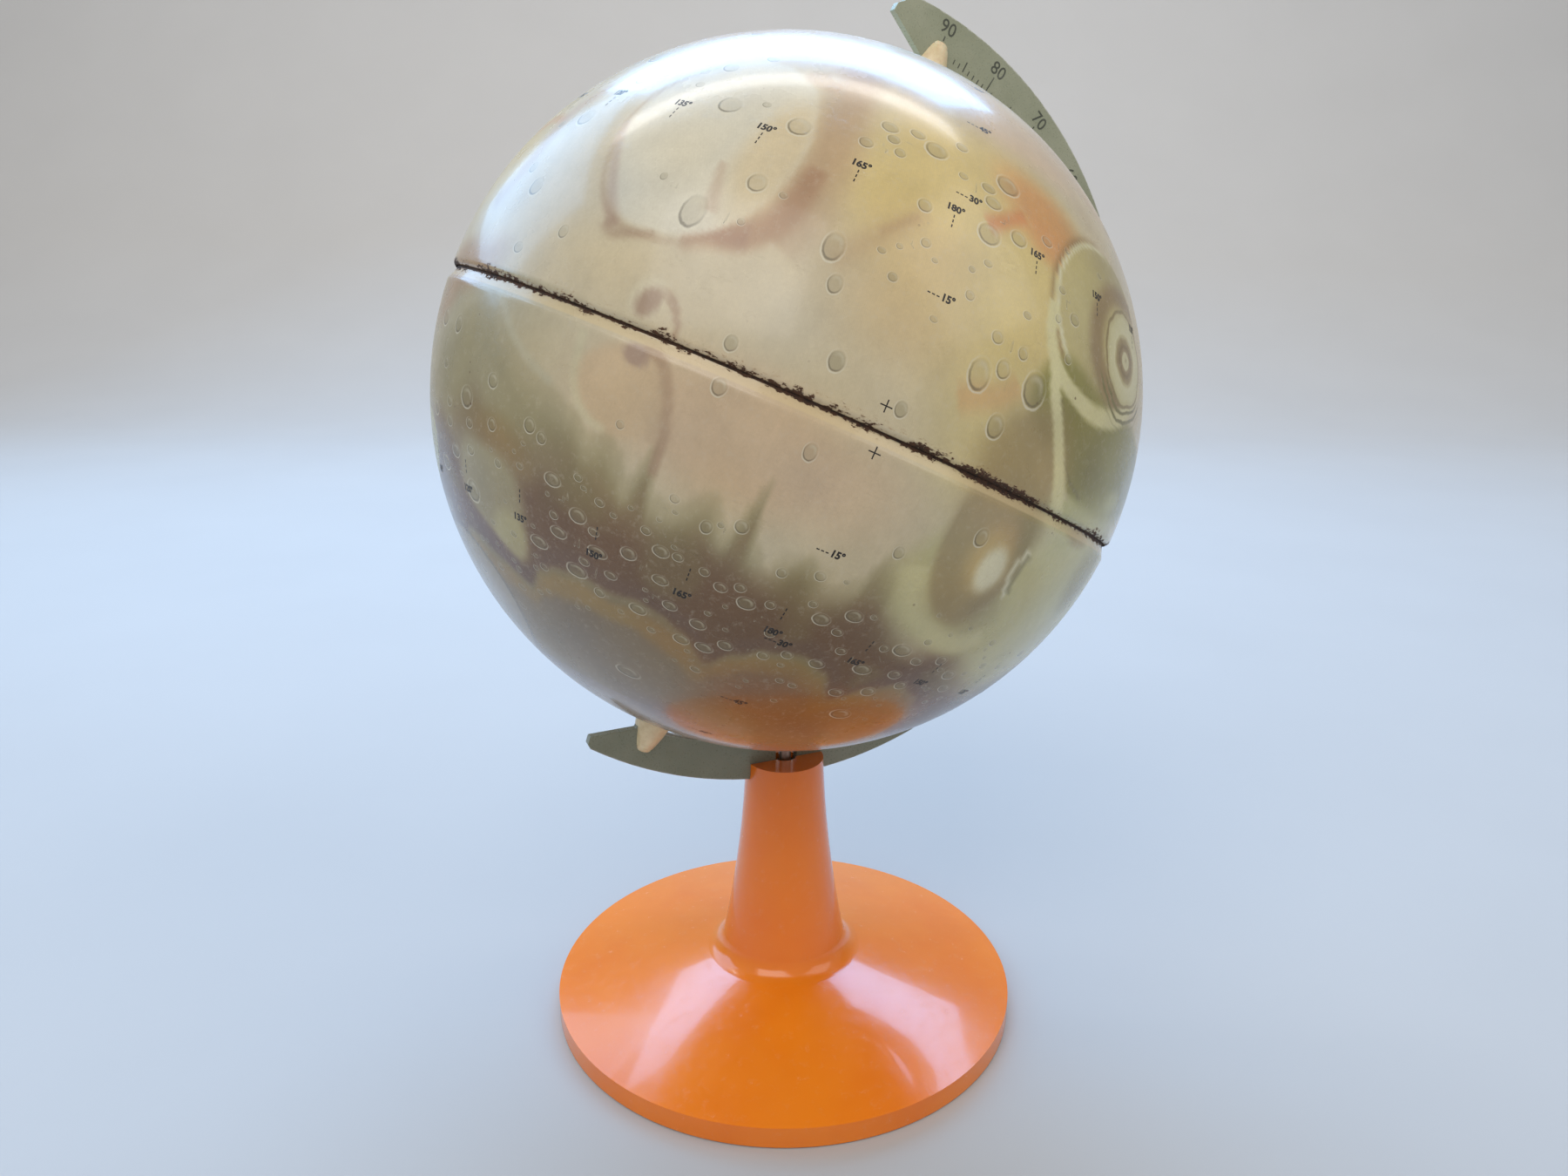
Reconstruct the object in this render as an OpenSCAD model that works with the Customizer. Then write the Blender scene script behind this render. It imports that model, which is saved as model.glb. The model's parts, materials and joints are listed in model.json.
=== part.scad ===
// Desktop globe on a tilted meridian arm and a round foot.
// Millimetres. Origin: centre of the resting face. +Z up, arm in the XZ plane, north pole towards +X.

/* [Globe] */
// Outside diameter of the printed ball
globe_d = 152.4; // [140:0.1:160]
// Sheet thickness of the two halves
sheet_t = 0.35; // [0.3:0.05:0.6]
// Lean of the spin axis from vertical, degrees
axis_tilt = 25.19; // [20:0.01:28]
// Height of the ball's centre over the table
centre_z = 150; // [146:0.5:156]
// How far south of the equator the seam lies
seam_drop = 1.4; // [1:0.1:2]
// Radius of the rolled-in edge of the north half
roll_r = 1.3; // [1:0.1:1.6]
// Width of the sloping band below the seam
band_w = 2.3; // [1.5:0.1:3]
// Height of the lap flange inside the north half
lap_h = 3; // [2:0.5:6]

/* [Spindle] */
// Diameter of the steel rod from pole to pole
rod_d = 2; // [1.6:0.1:2.4]
// Radial clearance of the rod in the pivot cones
run_gap = 0.05; // [0.02:0.01:0.1]
// Diameter of the cones and bushings next to the ball
cone_d = 8.4; // [7:0.1:9.4]
// Thickness of the bushing's flange outside the ball
flange_t = 0.9; // [0.6:0.1:1]
// Distance from the ball's centre to a cone's rounded tip
cone_tip = 84.9; // [84:0.1:86]

/* [Meridian arm] */
// Plate thickness
arm_t = 2.2; // [1.8:0.1:2.6]
// Radius of the inner edge about the ball's centre
arm_in = 79.5; // [79:0.1:80.5]
// Radius of the outer edge about its own centre
arm_out = 89.6; // [88.5:0.1:91]
// Sideways shift of the outer edge's centre
arm_shift = 2.3; // [0:0.1:4]
// Width of the notch over the column
notch_w = 5.5; // [4.5:0.1:6]
// Height of the notch's floor
notch_z = 63.6; // [63:0.1:65]

/* [Stand] */
// Foot diameter
foot_d = 114; // [104:0.5:126]
// Height of the foot's upright rim
rim_h = 5.2; // [4.4:0.1:7]
// Slope of the foot's top, degrees
foot_slope = 12.1; // [10:0.1:14]
// Fillet between foot and column
fillet_r = 5.2; // [4:0.1:8]
// Height of the column's top face
column_top = 65.1; // [64:0.1:67]
// Radius of the column at its top
column_r = 9.45; // [9:0.05:11]
// Radius of the column's flared side
flare_r = 290; // [240:5:400]
// Wall thickness of the moulding
wall_t = 2.2; // [1.8:0.1:2.8]
// Thickness of the felt under the foot
felt_t = 1.2; // [0.8:0.1:2]
// Thickness of the steel ballast plate
ballast_t = 2; // [1.5:0.1:2]

/* [Hidden] */
$fn = 180;

orange = [0.88, 0.38, 0.09];
steel = [0.66, 0.66, 0.65];
grey = [0.33, 0.34, 0.33];
cream = [0.86, 0.79, 0.63];
tin_print = [0.72, 0.63, 0.48];

ball_r = globe_d / 2;
foot_r = foot_d / 2;
bolt_r = 1.5;
boss_r = 2.7;
boss_base = 54.2;
web_z = 52;
shell_base = 0.3;
flare_z = column_top + 10.8;
flare_x = column_r + sqrt(pow(flare_r, 2) - pow(flare_z - column_top, 2));
post_pcd = 72;
post_r = 3.5;
screw_r = 1.45;
core_w = 3.6;
core_top = 83.4;
rod_end = 82;

// Fillet centre: fillet_r above the foot's slope and fillet_r inside the flare circle.
slope_d = [-cos(foot_slope), sin(foot_slope)];
slope_n = [sin(foot_slope), cos(foot_slope)];
rim_top = [foot_r, rim_h];
flare_c = [flare_x, flare_z];
from_c = rim_top + fillet_r * slope_n - flare_c;
along = -from_c * slope_d
        + sqrt(pow(from_c * slope_d, 2) - from_c * from_c + pow(flare_r - fillet_r, 2));
fillet_c = rim_top + along * slope_d + fillet_r * slope_n;
slope_end = fillet_c - fillet_r * slope_n;
flare_end = flare_c + (fillet_c - flare_c) * flare_r / (flare_r - fillet_r);

// Solid outline of foot and column, pulled in by d on every side; top is its height.
module stand_outline(d, bottom, top) {
    low = rim_top - [d, d / cos(foot_slope) - d * tan(foot_slope)];
    in_slope = slope_end - d * slope_n;
    in_flare = flare_end + d * (flare_end - fillet_c) / fillet_r;
    polygon([[0, bottom], [foot_r - d, bottom], low, in_slope, [0, in_slope[1]]]);
    difference() {
        polygon([[0, in_slope[1] - 0.5], in_slope - [0, 0.2], in_slope, fillet_c, in_flare, [0, in_flare[1]]]);
        translate(fillet_c) circle(r = fillet_r + d);
    }
    difference() {
        translate([0, in_flare[1] - 0.01]) square([in_flare[0], top - in_flare[1] + 0.01]);
        translate(flare_c) circle(r = flare_r + d, $fn = 1440);
    }
}

// Moves a shape drawn about the ball's centre, axis up, to its tilted place.
module on_axis() {
    translate([0, 0, centre_z]) rotate([0, axis_tilt, 0]) children();
}

module at_pole(side) {
    on_axis() rotate([side > 0 ? 0 : 180, 0, 0]) children();
}

module at_posts() {
    for (a = [0, 120, 240]) {
        rotate([0, 0, a]) translate([post_pcd / 2, 0, 0]) children();
    }
}

// Point at a latitude and a distance from the ball's centre, in the plate's own plane.
function on_arm(lat, r) = [r * cos(lat), r * sin(lat)];

// Everything left of the arm's two slanted ends.
module end_cut() {
    linear_extrude(arm_t + 10, center = true) polygon([
        on_arm(92.6, 60), on_arm(92.6, 80.2), on_arm(98.9, 85.9), on_arm(98.6, 87.6), on_arm(97.6, 88.6),
        on_arm(97.2, 120), [-150, 120], [-150, -120], on_arm(-97.2, 120),
        on_arm(-97.6, 88.6), on_arm(-98.6, 87.6), on_arm(-98.9, 85.9), on_arm(-92.6, 80.2), on_arm(-92.6, 60)
    ]);
}

module arm_plate(gap) {
    difference() {
        translate([arm_shift, 0, centre_z]) rotate([90, 0, 0])
            cylinder(r = arm_out + gap, h = arm_t + 2 * gap, center = true, $fn = 360);
        translate([0, 0, centre_z]) rotate([90, 0, 0])
            cylinder(r = arm_in - gap, h = arm_t + 10, center = true, $fn = 360);
        on_axis() rotate([90, 0, 0]) end_cut();
    }
}

module base_shell() {
    color(orange) {
        difference() {
            union() {
                rotate_extrude() difference() {
                    stand_outline(0, shell_base, column_top);
                    stand_outline(wall_t, shell_base - 1, web_z);
                }
                at_posts() translate([0, 0, felt_t + ballast_t])
                    cylinder(r = post_r, h = 5.2);
            }
            at_posts() translate([0, 0, felt_t + ballast_t - 1]) cylinder(r = screw_r - 0.2, h = 5.8);
            translate([0, 0, web_z - 5]) cylinder(r = bolt_r + 0.2, h = 30);
            translate([0, 0, boss_base - 0.2]) cylinder(r = boss_r + 0.1, h = 20);
            intersection() {
                arm_plate(0.05);
                translate([0, 0, column_top]) cube([60, 60, 20], center = true);
            }
        }
    }
}

module ballast_disc() {
    color(steel) difference() {
        translate([0, 0, felt_t]) cylinder(r = foot_r - wall_t - 0.5, h = ballast_t);
        translate([0, 0, felt_t - 1]) cylinder(r = 12, h = ballast_t + 2);
        at_posts() translate([0, 0, felt_t - 1]) cylinder(r = screw_r + 0.15, h = ballast_t + 2);
        at_posts() translate([0, 0, felt_t - 0.01]) cylinder(r1 = 2.7, r2 = screw_r + 0.1, h = 1.3);
    }
}

module ballast_screws() {
    color(steel) at_posts() rotate_extrude() polygon([
        [0, felt_t + 0.1], [2.5, felt_t + 0.1], [screw_r - 0.25, felt_t + 1.35],
        [screw_r - 0.25, felt_t + 5.2], [0, felt_t + 6.2]
    ]);
}

module felt_pad() {
    color([0.12, 0.16, 0.13]) cylinder(r = foot_r - wall_t - 0.6, h = felt_t);
}

module bolt_washer() {
    color(steel) difference() {
        translate([0, 0, web_z - 0.6]) cylinder(r = 3.5, h = 0.6);
        translate([0, 0, web_z - 1]) cylinder(r = bolt_r + 0.1, h = 2);
    }
}

module tie_bolt() {
    color(steel) difference() {
        union() {
            translate([0, 0, web_z - 3]) cylinder(r = 2.8, h = 2.4);
            translate([0, 0, web_z - 1]) cylinder(r = bolt_r, h = 18.4);
            translate([0, 0, web_z + 17.4]) cylinder(r1 = bolt_r, r2 = bolt_r - 0.3, h = 0.3);
        }
        translate([0, 0, web_z - 2.4]) cube([4, 0.8, 1.4], center = true);
        translate([0, 0, web_z - 2.4]) cube([0.8, 4, 1.4], center = true);
    }
}

module meridian_arm() {
    color(grey) difference() {
        union() {
            arm_plate(0);
            translate([0, 0, boss_base]) cylinder(r = boss_r, h = notch_z - boss_base);
        }
        translate([-notch_w / 2, -10, notch_z]) cube([notch_w, 20, 12]);
        translate([0, 0, boss_base - 1]) cylinder(r = bolt_r + 0.03, h = 20);
        at_pole(1) arm_fork();
        at_pole(-1) arm_fork();
    }
}

// Notch in an end of the arm that the cone's core sits in.
module arm_fork() {
    half = core_w / 2 + 0.05;
    translate([-half, -5, 70]) cube([2 * half, 10, core_top - half - 70 + 0.05]);
    translate([0, 5, core_top - half + 0.05]) rotate([90, 0, 0]) cylinder(r = half, h = 10);
}

// Cone with a slot for the arm, a core through the arm's notch and a blind hole for the rod.
module pivot_cone() {
    base_z = ball_r + flange_t + 0.3;
    half = core_w / 2;
    difference() {
        rotate_extrude() intersection() {
            translate([0, base_z]) square([cone_d, cone_tip - base_z]);
            translate([cone_d / 2 - 35.3, base_z - 7]) circle(r = 36, $fn = 720);
            union() {
                square([cone_d, cone_tip - 1.2]);
                translate([0, cone_tip - 1.2]) square([1, 1.2]);
                translate([1, cone_tip - 1.2]) circle(r = 1.2);
            }
        }
        difference() {
            translate([-10, -arm_t / 2 - 0.05, arm_in - 0.1]) cube([20, arm_t + 0.1, 20]);
            translate([-half, -5, 70]) cube([core_w, 10, core_top - half - 70]);
            translate([0, 5, core_top - half]) rotate([90, 0, 0]) cylinder(r = half, h = 10);
        }
        cylinder(r = rod_d / 2 + run_gap, h = rod_end + 0.5);
    }
}

module north_pivot_cone() {
    color(cream) at_pole(1) pivot_cone();
}

module south_pivot_cone() {
    color(cream) at_pole(-1) pivot_cone();
}

module pole_hole() {
    translate([0, 0, ball_r - 5]) cylinder(r = 3.4, h = 10);
}

module north_hemisphere() {
    roll_z = -0.2;
    color(tin_print) on_axis() difference() {
        rotate_extrude($fn = 240) {
            difference() {
                circle(r = ball_r, $fn = 360);
                circle(r = ball_r - sheet_t, $fn = 360);
                translate([-100, -100]) square([100, 200]);
                translate([-100, -100]) square([200, 100 + roll_z]);
            }
            intersection() {
                translate([ball_r - roll_r, roll_z]) difference() {
                    circle(r = roll_r);
                    circle(r = roll_r - sheet_t);
                }
                translate([ball_r - roll_r, roll_z]) polygon([
                    [0, 0.01], [5, 0.01], [5, -5], [(seam_drop - 0.2) / 2.2, -(seam_drop - 0.2)]
                ]);
            }
        }
        pole_hole();
    }
}

// Solid outline of the south half, pulled in by d, with its lap flange up to z = top.
module south_outline(d, top) {
    lap_r = ball_r - 1.05 - d;
    lap_z = -seam_drop - 0.5;
    edge_z = lap_z - band_w;
    edge_r = sqrt(pow(ball_r - d, 2) - pow(edge_z, 2));
    difference() {
        circle(r = ball_r - d, $fn = 360);
        translate([-100, -100]) square([100, 200]);
        translate([-1, edge_z]) square([100, 100]);
    }
    polygon([
        [0, edge_z - 6], [edge_r - 6, edge_z - 6], [edge_r, edge_z], [lap_r, lap_z], [lap_r, top], [0, top]
    ]);
}

module south_hemisphere() {
    color(tin_print) on_axis() difference() {
        rotate_extrude($fn = 240) difference() {
            south_outline(0, lap_h - seam_drop);
            south_outline(sheet_t, lap_h);
        }
        rotate([180, 0, 0]) pole_hole();
    }
}

module axle_rod() {
    color(steel) on_axis() cylinder(r = rod_d / 2, h = 2 * rod_end, center = true);
}

module pole_bushing() {
    difference() {
        union() {
            translate([0, 0, ball_r - 4]) cylinder(r = 3.3, h = 4.2);
            translate([0, 0, ball_r]) cylinder(r = cone_d / 2, h = flange_t);
        }
        translate([0, 0, ball_r - 5]) cylinder(r = rod_d / 2 + 0.02, h = 10);
    }
}

module north_pole_bushing() {
    color(cream) at_pole(1) pole_bushing();
}

module south_pole_bushing() {
    color(cream) at_pole(-1) pole_bushing();
}

base_shell();
ballast_disc();
ballast_screws();
felt_pad();
tie_bolt();
bolt_washer();
meridian_arm();
north_pivot_cone();
south_pivot_cone();
north_hemisphere();
south_hemisphere();
axle_rod();
north_pole_bushing();
south_pole_bushing();
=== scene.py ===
"""Looks of a desktop planet globe on a tilted meridian arm and a round foot.

Named lengths are in mm, except the studio's, which are in metres. Angles are in degrees.
"""
import json
import math

import bmesh
import bpy
import numpy as np
from mathutils import Matrix, Quaternion, Vector


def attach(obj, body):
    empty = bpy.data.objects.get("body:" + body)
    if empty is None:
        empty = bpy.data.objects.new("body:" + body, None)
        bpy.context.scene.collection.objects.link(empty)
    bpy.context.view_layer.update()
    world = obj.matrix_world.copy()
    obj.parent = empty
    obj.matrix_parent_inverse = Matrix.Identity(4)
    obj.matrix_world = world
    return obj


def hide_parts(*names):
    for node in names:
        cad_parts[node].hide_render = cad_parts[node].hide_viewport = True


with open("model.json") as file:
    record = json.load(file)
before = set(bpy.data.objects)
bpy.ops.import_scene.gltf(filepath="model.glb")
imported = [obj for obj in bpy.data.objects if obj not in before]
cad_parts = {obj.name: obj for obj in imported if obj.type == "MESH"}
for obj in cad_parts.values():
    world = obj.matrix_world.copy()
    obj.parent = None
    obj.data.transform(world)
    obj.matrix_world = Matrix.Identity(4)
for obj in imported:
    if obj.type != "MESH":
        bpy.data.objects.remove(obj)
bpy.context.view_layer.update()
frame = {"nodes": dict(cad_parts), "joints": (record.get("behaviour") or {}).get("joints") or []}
nodes = frame["nodes"]
MM = 0.001

# ---------------------------------------------------------------- sizes
SPIN = [j for j in frame["joints"] if j["name"] == "globe_spin"][0]
CENTRE = np.array(SPIN["pos_m"]) * 1000
AXIS = np.array(SPIN["axis"]) / np.linalg.norm(SPIN["axis"])
TILT = math.degrees(math.atan2(AXIS[0], AXIS[2]))
FRONT = np.array([0.0, -1.0, 0.0])
EAST = np.array([AXIS[2], 0.0, -AXIS[0]])
BALL_R = 76.2
SHEET_T = 0.35
HOLE_R = 3.4
# the seam: rolled skirt of the north half, bevelled band and inner lap of the south half
SEAM_DROP = 1.4
ROLL_R = 1.3
ROLL_Z = -0.2
ROLL_END = 65.6
BAND_W = 2.3
LAP_H = 3.0
LAP_R = BALL_R - 1.05
DENT_DEPTH = 0.035
# the arm's plate and its scale
ARM_T = 2.2
ARM_IN = 79.5
ARM_OUT = 89.6
ARM_SHIFT = 2.3
ARM_EDGE = 0.25
EASE_ANGLE = 35
# the map and the numbers are turned this much about the axis, degrees
MAP_TURN = -0.85

# ---------------------------------------------------------------- camera, before everything else
CAM_POS = Vector((-107.23, -239.40, 185.52)) * MM
CAM_AZ, CAM_PITCH, CAM_ROLL = -24.06, 16.497, 0.251
LENS, SENSOR_W = 26.882, 36
CLIP_NEAR, CLIP_FAR = 0.01, 20
cam_data = bpy.data.cameras.new("camera")
cam_data.sensor_width = SENSOR_W
cam_data.lens = LENS
cam_data.clip_start = CLIP_NEAR
cam_data.clip_end = CLIP_FAR
cam = bpy.data.objects.new("camera", cam_data)
bpy.context.scene.collection.objects.link(cam)
cam.location = CAM_POS
az, el = math.radians(CAM_AZ), math.radians(CAM_PITCH)
back = Vector((math.sin(az) * math.cos(el), -math.cos(az) * math.cos(el), math.sin(el)))
cam.rotation_mode = "QUATERNION"
cam.rotation_quaternion = (-back).to_track_quat("-Z", "Y") @ Quaternion((0, 0, 1), math.radians(CAM_ROLL))
bpy.context.scene.camera = cam
bpy.context.scene.view_settings.view_transform = "Standard"


# ---------------------------------------------------------------- small helpers
def srgb(r, g, b):
    """Display colour 0-255 to linear RGBA."""
    def lin(c):
        c = c / 255
        return c / 12.92 if c <= 0.04045 else ((c + 0.055) / 1.055) ** 2.4
    return (lin(r), lin(g), lin(b), 1.0)


class Graph:
    """Short way to write a shader tree."""

    def __init__(self, name):
        self.mat = bpy.data.materials.new(name)
        self.mat.use_nodes = True
        self.tree = self.mat.node_tree
        self.tree.nodes.clear()
        self.out = self.tree.nodes.new("ShaderNodeOutputMaterial")
        self.bsdf = self.tree.nodes.new("ShaderNodeBsdfPrincipled")
        self.tree.links.new(self.bsdf.outputs[0], self.out.inputs["Surface"])

    def put(self, socket, value):
        if isinstance(value, bpy.types.NodeSocket):
            self.tree.links.new(value, socket)
        elif value is not None:
            socket.default_value = value

    def node(self, kind, inputs=None, out=0, **props):
        n = self.tree.nodes.new("ShaderNode" + kind)
        for k, v in props.items():
            setattr(n, k, v)
        for k, v in (inputs or {}).items():
            self.put(n.inputs[k], v)
        return n.outputs[out]

    def math(self, op, a, b=None, c=None):
        n = self.tree.nodes.new("ShaderNodeMath")
        n.operation = op
        for i, v in enumerate((a, b, c)):
            self.put(n.inputs[i], v)
        return n.outputs[0]

    def mul(self, a, b):
        return self.math("MULTIPLY", a, b)

    def add(self, a, b):
        return self.math("ADD", a, b)

    def gap(self, a, b):
        """How far apart a and b are."""
        return self.math("ABSOLUTE", self.math("SUBTRACT", a, b))

    def vec(self, op, a, b=None, out=0):
        n = self.tree.nodes.new("ShaderNodeVectorMath")
        n.operation = op
        self.put(n.inputs[0], a)
        self.put(n.inputs[1], b)
        return n.outputs[out]

    def mix(self, fac, a, b):
        n = self.tree.nodes.new("ShaderNodeMix")
        n.data_type = "RGBA"
        n.clamp_factor = True
        self.put(n.inputs[0], fac)
        self.put(n.inputs[6], a)
        self.put(n.inputs[7], b)
        return n.outputs[2]

    def span(self, value, a, b, c=0.0, d=1.0, kind="LINEAR"):
        """Moves the range a to b onto c to d, clamped."""
        n = self.tree.nodes.new("ShaderNodeMapRange")
        n.interpolation_type = kind
        n.clamp = True
        for i, v in enumerate((value, a, b, c, d)):
            self.put(n.inputs[i], v)
        return n.outputs[0]

    def soft(self, value, a, b):
        """0 at a, 1 at b, smooth between."""
        return self.span(value, a, b, kind="SMOOTHSTEP")

    def noise(self, where, scale, detail, rough=0.5, distortion=0.0):
        return self.node("TexNoise", {"Vector": where, "Scale": scale, "Detail": detail, "Roughness": rough,
                                      "Distortion": distortion})

    def attr(self, name, out):
        return self.node("Attribute", out=out, attribute_name=name)

    def coords(self, scale=1000.0, stretch=None):
        """Object coordinates in mm."""
        o = self.node("TexCoord", out=3)
        return self.vec("MULTIPLY", o, stretch or (scale, scale, scale))

    def split(self, vector):
        """The X, Y and Z outputs of a vector."""
        n = self.tree.nodes.new("ShaderNodeSeparateXYZ")
        self.put(n.inputs[0], vector)
        return n.outputs

    def bump(self, height, strength, distance, normal=None):
        n = self.tree.nodes.new("ShaderNodeBump")
        n.inputs["Strength"].default_value = strength
        n.inputs["Distance"].default_value = distance
        self.put(n.inputs["Height"], height)
        self.put(n.inputs["Normal"], normal)
        return n.outputs[0]

    def set(self, **values):
        names = {"color": "Base Color", "rough": "Roughness", "metal": "Metallic", "normal": "Normal",
                 "coat": "Coat Weight", "coat_rough": "Coat Roughness", "sub": "Subsurface Weight",
                 "sub_scale": "Subsurface Scale", "sheen": "Sheen Weight", "sheen_rough": "Sheen Roughness",
                 "ior": "IOR"}
        for k, v in values.items():
            self.put(self.bsdf.inputs[names[k]], v)
        return self.mat


def paint(obj, mat):
    obj.data.materials.clear()
    obj.data.materials.append(mat)


def new_mesh(name, verts, faces, mat, body):
    """A mesh piece in the row frame from mm coordinates."""
    me = bpy.data.meshes.new(name)
    me.from_pydata((np.asarray(verts, float) * MM).tolist(), [], [list(map(int, f)) for f in faces])
    me.validate()
    me.update()
    me.materials.append(mat)
    o = bpy.data.objects.new(name, me)
    bpy.context.scene.collection.objects.link(o)
    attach(o, body)
    return o


def rise(x, a, b):
    """0 up to a, 1 from b on, smooth between."""
    t = np.clip((x - a) / (b - a), 0, 1)
    return t * t * (3 - 2 * t)


def fade(x, a, b):
    """1 up to a, 0 from b on, smooth between."""
    return 1 - rise(x, a, b)


# ---------------------------------------------------------------- plain materials
def orange_plastic():
    g = Graph("orange_gloss_plastic")
    p = g.coords()
    flow = g.noise(p, 0.035, 3, 0.55)
    fine = g.noise(p, 1.1, 4, 0.6)
    dust = g.noise(p, 0.45, 6, 0.7)
    col = g.mix(g.span(flow, 0.35, 0.7), srgb(240, 128, 26), srgb(233, 117, 18))
    col = g.mix(g.mul(g.span(dust, 0.56, 0.72), 0.12), col, srgb(240, 176, 120))
    scratch = g.noise(g.coords(stretch=(5200.0, 300.0, 900.0)), 0.35, 3, 0.6)
    rough = g.add(g.span(fine, 0.3, 0.75, 0.13, 0.21), g.mul(g.span(dust, 0.5, 0.75), 0.14))
    n1 = g.bump(g.add(fine, g.mul(g.span(scratch, 0.62, 0.7), 0.35)), 0.10, 0.00012)
    n2 = g.bump(flow, 0.18, 0.0014, n1)
    return g.set(color=col, rough=rough, normal=n2, coat=0.35, coat_rough=0.05, sub=0.05, sub_scale=0.004,
                 ior=1.49)


def grey_arm():
    g = Graph("satin_grey_arm")
    p = g.coords()
    grain = g.noise(g.coords(stretch=(2600.0, 500.0, 2600.0)), 0.9, 5, 0.62)
    cloud = g.noise(p, 0.09, 4, 0.6)
    chips = g.noise(p, 0.55, 5, 0.65)
    x, _, z = g.split(p)
    flat = g.node("CombineXYZ", {"X": x, "Z": z})
    inner = g.vec("DISTANCE", flat, (CENTRE[0], 0, CENTRE[2]), out=1)
    outer = g.vec("DISTANCE", flat, (CENTRE[0] + ARM_SHIFT, 0, CENTRE[2]), out=1)
    rim = g.math("MINIMUM", g.gap(inner, ARM_IN), g.gap(outer, ARM_OUT))
    wear = g.mul(g.soft(rim, 0.42, 0.12), g.span(chips, 0.40, 0.56))
    col = g.mix(g.span(cloud, 0.35, 0.68), srgb(152, 155, 130), srgb(168, 169, 145))
    col = g.mix(g.mul(g.span(chips, 0.60, 0.74), 0.16), col, srgb(106, 106, 92))
    col = g.mix(g.mul(wear, 0.8), col, srgb(206, 206, 194))
    # painted shade: the arm's colour is darkened towards its lower end, where it lies under the ball
    low = g.mul(g.soft(z, 150.0, 74.0), 0.5)
    col = g.mix(low, col, srgb(84, 84, 74))
    rough = g.span(grain, 0.3, 0.72, 0.24, 0.38)
    nrm = g.bump(grain, 0.16, 0.0001, g.bump(cloud, 0.1, 0.0008))
    return g.set(color=col, rough=rough, metal=0.25, normal=nrm)


def cream_plastic(name, worn):
    g = Graph(name)
    p = g.coords()
    cloud = g.noise(p, 0.55, 4, 0.6)
    fine = g.noise(p, 3.0, 4, 0.6)
    col = g.mix(g.span(cloud, 0.35, 0.7), srgb(231, 214, 178), srgb(214, 190, 148))
    col = g.mix(g.mul(g.span(fine, 0.56, 0.7), worn), col, srgb(150, 112, 70))
    nrm = g.bump(fine, 0.07, 0.00012)
    return g.set(color=col, rough=g.span(cloud, 0.3, 0.7, 0.30, 0.46), normal=nrm, sub=0.12,
                 sub_scale=0.002)


def steel(name, tint, rough, scratch_scale):
    g = Graph(name)
    p = g.coords()
    brushed = g.noise(g.coords(stretch=(400.0, 400.0, 9000.0)), scratch_scale, 4, 0.65)
    spots = g.noise(p, 0.8, 5, 0.62)
    col = g.mix(g.mul(g.span(spots, 0.58, 0.74), 0.6), tint, srgb(120, 92, 62))
    r = g.add(g.span(brushed, 0.3, 0.7, rough, rough + 0.14), g.mul(g.span(spots, 0.58, 0.74), 0.2))
    return g.set(color=col, rough=r, metal=1.0, normal=g.bump(brushed, 0.12, 0.00008))


def felt():
    g = Graph("dark_felt")
    p = g.coords()
    fibre = g.noise(p, 2.2, 8, 0.8, distortion=1.2)
    tuft = g.node("TexVoronoi", {"Vector": p, "Scale": 1.4, "Randomness": 1.0}, feature="F1")
    col = g.mix(g.span(fibre, 0.35, 0.7), srgb(28, 42, 33), srgb(52, 70, 56))
    nrm = g.bump(g.add(fibre, g.mul(tuft, 0.4)), 0.7, 0.0005)
    return g.set(color=col, rough=0.95, normal=nrm, sheen=0.5, sheen_rough=0.6)


M_ORANGE, M_ARM = orange_plastic(), grey_arm()
M_CONE, M_BUSH = cream_plastic("cream_cone_plastic", 0.12), cream_plastic("cream_bushing_plastic", 0.5)
M_ZINC = steel("zinc_plated_steel", srgb(196, 196, 190), 0.26, 0.9)
M_PLATE = steel("rolled_steel", srgb(150, 150, 148), 0.4, 0.5)
M_WIRE = steel("drawn_steel", srgb(184, 184, 180), 0.22, 1.4)
NODE_LOOKS = {
    "base_shell": M_ORANGE, "felt_pad": felt(), "ballast_disc": M_PLATE, "ballast_screws": M_ZINC,
    "tie_bolt": M_ZINC, "bolt_washer": M_ZINC, "axle_rod": M_WIRE, "meridian_arm": M_ARM,
    "north_pivot_cone": M_CONE, "south_pivot_cone": M_CONE,
    "north_pole_bushing": M_BUSH, "south_pole_bushing": M_BUSH}
for name, mat in NODE_LOOKS.items():
    paint(nodes[name], mat)

# ---------------------------------------------------------------- the printed map
# display colours 0-255
TAN, PALE, OCHRE, RUSTY = (201, 187, 155), (213, 206, 184), (211, 188, 126), (206, 144, 90)
MAUVE, MAUVE_DARK, OLIVE, OLIVE_PALE = (168, 132, 100), (104, 74, 48), (138, 132, 66), (180, 176, 116)
CREAM, BROWN, ICE = (214, 206, 156), (156, 136, 92), (228, 222, 202)
GREY_OLIVE, GREY_MAUVE = (148, 137, 98), (140, 122, 104)
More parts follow.
